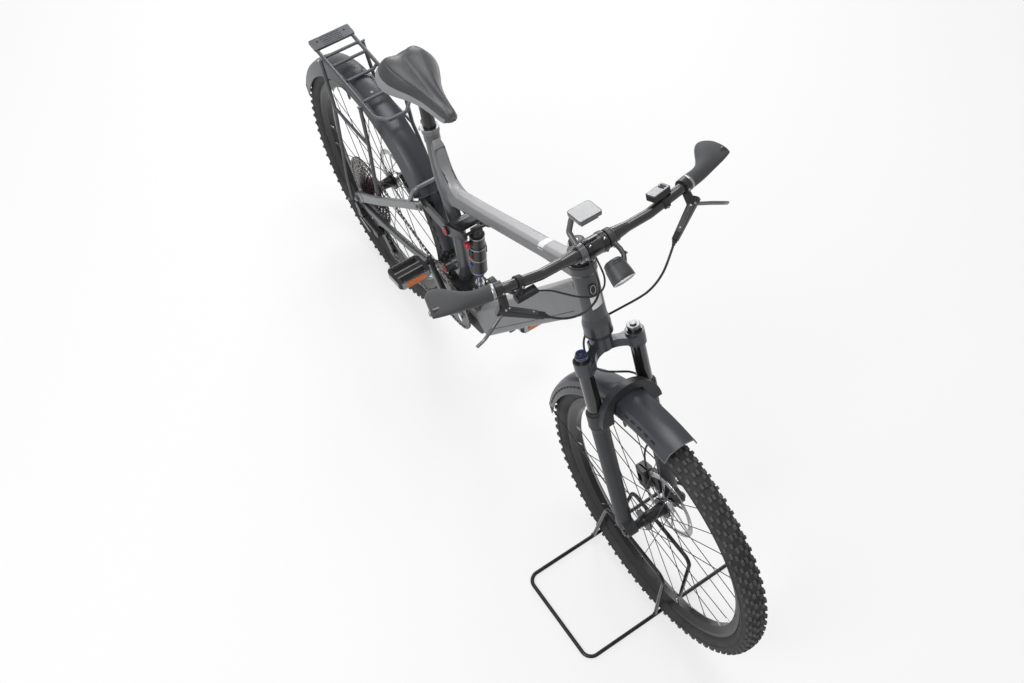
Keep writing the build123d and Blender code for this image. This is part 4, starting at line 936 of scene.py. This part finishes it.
crank_face = 75.8
pedal_reach = 143
cover_profile = ((50, 0), (50, 1.6), (48.5, 2.6), (41, 2.6), (40, 1.4), (38.5, 1.4), (37.5, 2.8), (20, 3.6))
covers = Builder()
motor_spots = []
for side in sides:
    covers.lathe(from_crank(0, 0, side * 35.6), (0, side, 0), cover_profile, 64)
    covers.block(at(520, side * 36.2, 388), (1, 0, 0.35), (0, 0, side), (52, 36, 2.4), 10, 1)
    motor_spots += [(from_crank(45, radians(60 * i + 20), side * 38.0), (0, side, 0)) for i in range(6)]
covers.make("motor_covers", "gloss_plastic", "frame", "black_plastic")
bolt_on("frame", "motor_bolts", motor_spots, "dark_steel", 2.6, 1.8)
ring_spots = [(from_crank(37, radians(72 * i + 46), -52.8), (0, -1, 0)) for i in range(5)]
bolt_on("crankset", "chainring_bolts", ring_spots, "dark_steel", 3.6, 2.0)
bolt_on("crankset", "crank_bolts", [(from_crank(0, 0, side * crank_face), (0, side, 0)) for side in sides],
        "dark_steel", 9.0, 2.6)
crank_rims = Builder()
for side, angle in crank_angles.items():
    for t in (0.14, 0.86):
        crank_rims.hoop(from_crank(crank_length * t, angle, side * (crank_face + 13 * t)), (0, side, 0),
                        ((11.0, 0), (12.4, 0), (12.4, 0.7), (11.0, 0.7)))
crank_rims.make("crank_rims", "lever_metal", "crankset", "black_metal")

# Pedals: toothed cage edges, reflectors and pins
pedal_tilt = radians(12)
ahead = Vector((cos(pedal_tilt), 0, sin(pedal_tilt)))
above = Vector((-sin(pedal_tilt), 0, cos(pedal_tilt)))
cage_outline = [(-40, -9)]
for k in range(20):
    cage_outline += [(-38 + 4 * k + dy, z) for dy, z in ((-1.4, -9.0), (0, -10.6), (1.4, -9.0))]
cage_outline.append((40, -9))
cage_outline += [(y, -z) for y, z in reversed(cage_outline)]

for side, angle in crank_angles.items():
    def on_pedal(x, y, z, centre=from_crank(crank_length, angle, side * pedal_reach)):
        return centre + (ahead * x + above * z) * mm + move(0, y, 0)

    body = sides[side] + "_pedal"
    cage = Builder()
    reflectors = Builder()
    pins = Builder()
    for face in (-1, 1):
        cage.rings([[on_pedal(face * reach, y, z) for y, z in cage_outline] for reach in (36.2, 38.0)])
        reflectors.block(on_pedal(face * 39.2, 0, 0), y_axis, above, (54, 12.5, 3), 2, 0.5)
        for y in (-30, 0, 30):
            for x in (-32, 32):
                pins.lathe(on_pedal(x, y, face * 8.6), above * face, ((1.5, 0), (1.5, 2.2), (1.0, 3.0)), 8)
        for x in (-9, 9):
            cage.block(on_pedal(x, 0, face * 8.9), y_axis, ahead, (74, 4, 1.6), 1.8, 0.5)
    for end in (-1, 1):
        cage.block(on_pedal(0, end * 46.2, 0), ahead, above, (52, 16, 1.6), 3, 0.5)
    cage.make(body + "_cage", "satin_silver", body, "black_plastic", 30)
    reflectors.make(body + "_reflectors", "orange_lens", body, "black_plastic", 30)
    pins.make(body + "_pins", "steel", body, "steel")


# Grips and brake levers

for side, word in sides.items():
    grip_way = (bar_point(side, 350) - bar_point(side, 205)).normalized()
    ring = Builder()
    ring.hoop(bar_point(side, 229.5), grip_way,
              ((11.4, 0), (15.6, 0), (16.4, 1), (16.4, 6), (15.6, 7), (11.4, 7)))
    ring.lathe(bar_point(side, 353.8), grip_way, ((5.4, -1), (5.4, 1.6), (4.6, 2.4), (2.6, 2.4), (2.4, 0.8)))
    ring.make("grip_metal_" + word, "satin_silver", "front_end", "steel")

    lever_bar = bar_point(side, lever_at)
    root = lever_bar + move(20, side * 18, -29)
    end = reservoir_end(side)
    run = end - root
    level = (Vector((0, 0, 1)) - run * (run.z / run.length ** 2)).normalized()
    low = root + run * 0.12 + level * 9.84 * mm
    high = root + run * 0.84 + level * 7.68 * mm
    panel_size = ((high - low).length / mm, 11.5, 1.4)
    panel = Builder()
    panel.block((low + high) / 2, high - low, run.cross(level), panel_size, 4, 0.5)
    panel.make("lever_panel_" + word, "panel_grey", "front_end", "black_metal")
    spots = [(low + (high - low) * t + level * 0.5 * mm, level) for t in (0.14, 0.86)]
    spots.append((lever_bar + move(32, side * 6, -26), (0.3, 0, 1)))
    spots.append((lever_bar + move(15.8, 0, 5), (1, 0, 0.3)))
    bolt_on("front_end", "lever_bolts_" + word, spots, "steel", 2.4, 2.0)
    nut = Builder()
    nut.lathe(end - hose_way(side) * 2 * mm, hose_way(side), ((5.2, 0), (5.2, 7), (3.6, 8), (3.6, 13)), 12)
    nut.make("hose_nut_" + word, "black_plastic", "front_end", "black_metal")


# Stem: face-plate bolts, top cap and spacer rings

spots = []
face = Builder()
for y in (-17, 17):
    for a in (radians(42), radians(-42)):
        spots.append((bar_centre + (steer_forward * cos(a) + steer_up * sin(a)) * 20.6 * mm + move(0, y, 0),
                      steer_forward))
    face.hoop(bar_centre + move(0, y, 0), y_axis,
              ((20.4, -5), (22.0, -5), (22.4, 0), (22.0, 5), (20.4, 5)), 40)
bolt_on("front_end", "stem_bolts", spots, "steel", 3.4, 3.0)
for up, radius in ((528, 32.0), (708, 30.8), (716, 25.0)):
    face.hoop(fork_point(0, 0, up), steer_up,
              ((radius - 4, -1.6), (radius, -1.2), (radius, 1.2), (radius - 4, 1.6)), 48)
face.lathe(fork_point(0, 0, 760), steer_up, ((16.5, 0), (16.5, 1.6), (15, 2.6), (6, 2.6), (5, 1)), 36)
face.make("stem_rings", "black_metal", "front_end", "black_metal")
bolt_on("front_end", "top_cap_bolt", [(fork_point(0, 0, 761), steer_up)], "steel", 4.2, 1.6)


# Display and remote

screen_tilt = radians(14)
screen_x = Vector((cos(screen_tilt), 0, sin(screen_tilt)))
screen_n = Vector((-sin(screen_tilt), 0, cos(screen_tilt)))
screen_at = bar_centre + move(-36, 0, 64)
glass = Builder()
glass.block(screen_at + screen_n * 4.3 * mm, screen_x, y_axis, (44.5, 51.5, 0.9), 5.5, 0.3)
glass.make("display_glass", "screen_glass", "front_end", "screen")
rim = Builder()
corners = ((-1, -0.8), (-0.8, -1), (0.8, -1), (1, -0.8), (1, 0.8), (0.8, 1), (-0.8, 1), (-1, 0.8))
rim.tube([screen_at + (screen_n * 3.6 + screen_x * x * 22.9 + y_axis * y * 26.4) * mm for x, y in corners],
         0.7, closed=True)
for y in (-20, 20):
    rim.block(screen_at - screen_n * 9.5 * mm + move(0, y, 0), screen_x, screen_n, (30, 6, 1.6), 2)
rim.make("display_rim", "black_plastic", "front_end", "screen")

pad_pitch, pad_turn = radians(22), radians(10)
pad_x = Vector((cos(pad_turn) * cos(pad_pitch), sin(pad_turn), cos(pad_turn) * sin(pad_pitch)))
pad_y = Vector((-sin(pad_turn) * cos(pad_pitch), cos(pad_turn), -sin(pad_turn) * sin(pad_pitch)))
pad_n = pad_x.cross(pad_y).normalized()
pad_at = bar_point(left, remote_at) + move(-10, -9, 23)
keypad = Builder()
keypad.block(pad_at + pad_n * 6.8 * mm, pad_x, pad_y, (23.5, 44, 1.4), 4, 0.5)
keypad.make("remote_face", "silver_pad", "front_end", "black_plastic")
keys = Builder()
for y, length in ((16, 6), (9.5, 4.5)):
    keys.block(pad_at + (pad_n * 8 + pad_y * y) * mm, pad_x, pad_y, (16, length, 1.6), 3, 0.6)
keys.make("remote_keys", "black_plastic", "front_end", "black_plastic")


# Headlight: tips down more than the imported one

lamp_tip = radians(20)
lamp_way = Vector((cos(lamp_tip), 0, -sin(lamp_tip)))
lamp_at = bar_centre + move(56, 0, 10)
lamp_root = bar_centre + move(16, 35, 2)
shell = Builder()
shell.lathe(lamp_at, lamp_way, (
    (9, -2), (15, -1.4), (17, 0), (20.6, 3.4), (20.6, 5), (19.8, 5.6), (19.8, 7), (21.2, 7.6), (21.4, 9.4),
    (20.6, 10), (20.6, 11.4), (22.6, 12.2), (24.6, 34), (24.9, 44), (24.2, 45), (21.6, 45), (21.2, 42.4),
), 64)
arm = [lamp_root + move(*step) for step in ((0, 0, 0), (20, 0.5, 0), (33, -1, -1), (42, -6, -4))]
shell.tube(arm + [lamp_at + lamp_way * 20 * mm + move(0, 16, 0)], 5.2, 16)
shell.hoop(bar_centre + move(0, 35, 0), y_axis,
           ((16.2, -6.5), (19.6, -6.5), (20.2, -5), (20.2, 5), (19.6, 6.5), (16.2, 6.5)), 40)
piece = shell.make("headlight_shell", "panel_grey", "front_end", "lamp")
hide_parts("headlight")
lens = Builder()
lens.lathe(lamp_at + lamp_way * 42 * mm, lamp_way,
           ((21.2, 0), (21.2, 0.6), (16, 1.6), (9, 2.3), (3, 2.6)), 48)
lens.hoop(lamp_at + lamp_way * 44.4 * mm, lamp_way,
          ((21.3, -2), (24.4, -0.2), (24.4, 1.0), (22.4, 1.4), (21.3, 0.8)), 64)
lens.make("lamp_lens", "lens_glass", "front_end", "lamp")
bolt_on("front_end", "lamp_bolt", [(lamp_root + move(34, 4, 1), y_axis)], "steel", 3.4, 2.4)


# Fork: wipers, caps, dial, axle ends and hose clips

wipers = Builder()
for side in sides:
    wipers.hoop(fork_point(leg_lead, side * leg_spacing, 360), steer_up,
                ((17.2, 0), (21.4, 0), (21.2, 3.5), (19.0, 7), (17.2, 7.4)), 40)
    wipers.hoop(fork_point(leg_lead, side * leg_spacing, 326), steer_up,
                ((22.4, -1), (23.6, -0.6), (23.6, 0.6), (22.4, 1)), 40)
    wipers.block(fork_point(48.6, side * leg_spacing, 345), y_axis, steer_up, (20, 16, 4), 4, 1)
wipers.make("fork_wipers", "black_plastic", "front_end", "fork_paint")
caps = Builder()
caps.lathe(fork_point(leg_lead, leg_spacing, 517), steer_up,
           ((15.2, 0), (15.2, 2.4), (14, 3.6), (8.6, 3.6)), 40)
caps.lathe(fork_point(leg_lead, leg_spacing, 520), steer_up, ((8.2, 0), (8.2, 3.6), (7.2, 4.4)), 6)
caps.make("fork_caps", "lever_metal", "front_end", "steel")
dial = Builder()
notches = [12.4 if i % 3 else 11.6 for i in range(36)]
dial.rings([[fork_point(leg_lead + r * scale * cos(a), -leg_spacing + r * scale * sin(a), up)
             for r, a in zip(notches, turns(36))]
            for up, scale in ((519.2, 1), (524.5, 1), (526.5, 0.86), (526.5, 0.3))])
dial.make("fork_dial", "black_metal", "front_end", "fork_paint")
dial_ring = Builder()
dial_ring.hoop(fork_point(leg_lead, -leg_spacing, 518), steer_up, bead(13.4, 0.9), 40)
dial_ring.hoop(fork_point(leg_lead, -leg_spacing, 526.6), steer_up, bead(6.0, 0.7))
dial_ring.make("fork_dial_ring", "blue_metal", "front_end", "fork_paint")
bolt_on("front_end", "axle_ends", [(front_axle + move(0, y, 0), (0, y, 0)) for y in (-85.5, 88)],
        "dark_steel", 8.0, 2.2)
bolt_on("frame", "rear_axle_ends", [(rear_axle + move(0, y, 0), (0, y, 0)) for y in (-88, 88)],
        "dark_steel", 9.0, 2.4)
clip = Builder()
clip.block(fork_point(-4, 72.5, 352), steer_up, (1, 0, 0), (10, 12, 8), 3, 1)
clip.block(fork_point(20, 92.5, 262), steer_up, (1, 0, 0), (10, 12, 9), 3, 1)
clip.make("hose_clips", "black_plastic", "front_end", "black_plastic")

# Screws of the brake calipers and the rotors
rotor_bolt_radius = 18.6
rear_lean = radians(119)
rear_back = Vector((cos(rear_lean), 0, -sin(rear_lean)))
rear_up = Vector((sin(rear_lean), 0, cos(rear_lean)))
for origin, forth, rise, body, word in ((front_axle, steer_forward, steer_up, "front_end", "front"),
                                        (rear_axle, rear_back, rear_up, "frame", "rear")):
    centre = origin + (rise * brake_rise - forth * brake_back) * mm + move(0, brake_y + 16.8, 0)
    spots = [(centre + rise * z * mm, y_axis) for z in (-19, 19)] + [(centre - forth * 3 * mm, y_axis)]
    bolt_on(body, "caliper_screws_" + word, spots, "steel", 3.4, 2.4)
for centre, body in wheels:
    spots = []
    for i in range(6):
        a = radians(60 * i + 15)
        place = move(rotor_bolt_radius * cos(a), brake_y + 0.8, rotor_bolt_radius * sin(a))
        spots.append((centre + place, y_axis))
    bolt_on(body, body + "_rotor_screws", spots, "dark_steel", 2.6, 1.8)


# Mudguards: rolled edges, slots and bolt

guard_centre = front_axle + move(36.8, 0, -20.8)

# Centre, crown radius, half width, half width of the crown, its sag, depth, first and last degree
guards = ((guard_centre, 424.5, 43, 32, 8, 35, -85, 0.5, "front_end", "front"),
          (rear_axle, 388, 39, 30, 7, 44, -73, 49.5, "frame", "rear"))
for centre, crown, half, crown_half, sag, depth, start, end, body, word in guards:
    edges = Builder()
    angles = [radians(start + (end - start) * i / 70) for i in range(71)]
    for side in sides:
        edges.tube([spun(centre, a, crown - depth + 0.6, side * (half - 1)) for a in angles], 1.7)
    section = [(1 - half, crown - depth), (-crown_half, crown - sag - 1)]
    section += [(crown_half * (i / 5 - 1), crown - 1.1 - sag * (1 - i / 5) ** 2) for i in range(1, 10)]
    section += [(crown_half, crown - sag - 1), (half - 1, crown - depth)]
    for a in (angles[0], angles[-1]):
        edges.tube([spun(centre, a, r, y) for y, r in section], 1.5)
    # The rolled edges take the lighter grey: a painted highlight along them.
    edges.make(word + "_guard_edges", "guard_edge_highlight", body, "grey_plastic")

slots = Builder()
for i in range(24):
    a = radians(-80 + 3.2 * i)
    outward = Vector((sin(a), 0, cos(a)))
    fall = (y_axis * -0.377 - outward * 0.926).normalized()
    slots.block(spun(guard_centre, a, 404.2, -37.85), (cos(a), 0, -sin(a)), fall, (13.5, 4.2, 1.6), 1.9, 0.3)
slots.make("guard_slots", "black_plastic", "front_end", "black_plastic")
bolt_on("frame", "rear_guard_bolt", [(at(28, -5, axle_height + sqrt(387.8 ** 2 - 28 ** 2)), (28, 0, 387))],
        "satin_silver", 4.0, 2.2)


# Rack: plate ridges, rail joints and leg bolts

ridges = Builder()
for i in range(5):
    ridges.block(at(-196 + 7 * i, 0, 782.8), y_axis, (1, 0, 0), (56, 2.6, 1.4), 1.2)
spots = []
for side in sides:
    for x in (-133, -93, 60):
        ridges.hoop(at(x, side * 46.2, 775), y_axis, bead(4.2, 1.5, 6), 16)
    for x, y, z in ((-131, 66.9, 775), (69, 66.9, 775), (-24, 101.6, 356), (138, 88.6, 524)):
        spots.append((at(x, side * y, z), (0, side, 0)))
ridges.make("rack_ridges", "rack_paint", "frame", "black_metal")
bolt_on("frame", "rack_bolts", spots, "steel", 3.8, 2.4)


# Derailleur, clamp screws, shifter cover and the welds of the stand

bolt_on("frame", "derailleur_bolts", [(at(*place), (0, -1, 0)) for place in (
    (38, -67.8, 240), (14, -92.8, 322), (88, -48.0, 190), (2, -92.8, 346))], "steel", 4.2, 2.2)
cage_plate = Builder()
cage_plate.block(at(26, -88, 282), (0.25, 0.22, -0.9), (1, 0, 0.3), (60, 12, 3), 4, 1)
cage_plate.make("derailleur_plate", "satin_silver", "frame", "black_metal")

bolt_on("front_end", "clamp_screws", [
    (bar_point(right, shifter_at) + move(14.4, 0, 3), (1, 0, 0.2)),
    (bar_point(left, remote_at) + move(14, 0, -2), (1, 0, -0.1)),
    (bar_centre + move(19.4, -33, 3), (1, 0, 0.15)),
    (bar_centre + move(19.4, 35, -8), (1, 0, -0.4)),
], "steel", 2.8, 2.4)
shift_cover = Builder()
shift_cover.block(shifter_pod + move(0, 0, 7.2), y_axis, (1, 0, 0), (36, 13, 1.6), 4, 0.6)
shift_cover.lathe(cable_start - cable_way * 13 * mm, cable_way, ((5.0, 0), (5.0, 9), (3.4, 11)), 12)
shift_cover.make("shifter_cover", "panel_grey", "front_end", "black_plastic")

welds = Builder()
for x in (1073, 1337):
    for side in sides:
        welds.hoop(at(x, side * 40, 10.6), (0, 0, 1), bead(5.2, 1.4), 20)
welds.make("stand_welds", "stand_paint", "front_end", "stand")


# Stage


def combine(nodes, links, operation, first, second):
    """A maths node; each of its two values is a socket or a number."""
    node = nodes.new("ShaderNodeMath")
    node.operation = operation
    for socket, value in zip(node.inputs, (first, second)):
        if isinstance(value, float):
            socket.default_value = value
        else:
            links.new(value, socket)
    return node.outputs[0]


def stage_floor():
    """A pale floor that keeps its shadows and, seen directly, nears the background's white."""
    half = 6.0
    corners = [(x * half, y * half, 0) for x, y in ((-1, -1), (1, -1), (1, 1), (-1, 1))]
    mesh = bpy.data.meshes.new("floor")
    mesh.from_pydata(corners, [], [(0, 1, 2, 3)])
    floor = bpy.data.objects.new("floor", mesh)
    bpy.context.scene.collection.objects.link(floor)
    material = bpy.data.materials.new("floor_pale")
    material.use_nodes = True
    nodes = material.node_tree.nodes
    links = material.node_tree.links
    shader = nodes["Principled BSDF"]
    shader.inputs["Base Color"].default_value = (0.95, 0.95, 0.95, 1)
    shader.inputs["Roughness"].default_value = 0.9
    glow = add_node(nodes, "Emission", Strength=1.0)
    path = add_node(nodes, "LightPath")
    seen = combine(nodes, links, "MAXIMUM", path.outputs["Is Camera Ray"], path.outputs["Is Glossy Ray"])
    also = combine(nodes, links, "MAXIMUM", seen, path.outputs["Is Transmission Ray"])
    share = combine(nodes, links, "MULTIPLY", also, 0.66)
    mix = add_node(nodes, "MixShader")
    links.new(share, mix.inputs["Fac"])
    links.new(shader.outputs["BSDF"], mix.inputs[1])
    links.new(glow.outputs["Emission"], mix.inputs[2])
    links.new(mix.outputs["Shader"], nodes["Material Output"].inputs["Surface"])
    mesh.materials.append(material)


def studio_world():
    """White behind the model, with less light from it than it shows."""
    world = bpy.data.worlds.new("studio")
    bpy.context.scene.world = world
    world.use_nodes = True
    nodes = world.node_tree.nodes
    links = world.node_tree.links
    background = nodes["Background"]
    background.inputs["Color"].default_value = (1, 1, 1, 1)
    path = add_node(nodes, "LightPath")
    glossy = combine(nodes, links, "MULTIPLY", path.outputs["Is Glossy Ray"], 0.45)
    seen = combine(nodes, links, "MAXIMUM", path.outputs["Is Camera Ray"], glossy)
    strength = add_node(nodes, "MapRange", To_Min=0.34, To_Max=1.0)
    links.new(seen, strength.inputs["Value"])
    links.new(strength.outputs["Result"], background.inputs["Strength"])


def area_light(name, place, size, power):
    data = bpy.data.lights.new(name, "AREA")
    data.shape = "DISK"
    data.size = size
    data.energy = power
    light = bpy.data.objects.new(name, data)
    light.location = place
    light.rotation_mode = "QUATERNION"
    light.rotation_quaternion = (Vector((0, 0, 0.5)) - Vector(place)).to_track_quat("-Z", "Y")
    bpy.context.scene.collection.objects.link(light)


stage_floor()
studio_world()
area_light("key", (0.9, -2.6, 3.4), 2.2, 70)
area_light("top", (-0.9, 0.5, 3.7), 2.0, 48)
area_light("rim", (-2.9, 1.6, 1.9), 1.6, 40)


# Camera, at the photograph's place and angle

camera_place = Vector((1.422558, -0.904379, 2.929238))
camera_target = Vector((0.042743, -0.011209, 0.400))
camera_roll = -0.0283
photo_width = 1024
focal_pixels = 1186.538
sensor = 36.0

forward = (camera_target - camera_place).normalized()
across = forward.cross(Vector((0, 0, 1))).normalized()
upward = across.cross(forward)
camera_x = across * cos(camera_roll) + upward * sin(camera_roll)
camera_y = upward * cos(camera_roll) - across * sin(camera_roll)
camera_data = bpy.data.cameras.new("camera")
camera_data.sensor_width = sensor
camera_data.lens = focal_pixels * sensor / photo_width
camera_data.clip_start = 0.01
camera_data.clip_end = 100
camera = bpy.data.objects.new("camera", camera_data)
camera_turn = Matrix((camera_x, camera_y, -forward)).transposed().to_4x4()
camera.matrix_world = Matrix.Translation(camera_place) @ camera_turn
bpy.context.scene.collection.objects.link(camera)
bpy.context.scene.camera = camera
bpy.context.scene.view_settings.view_transform = "Standard"
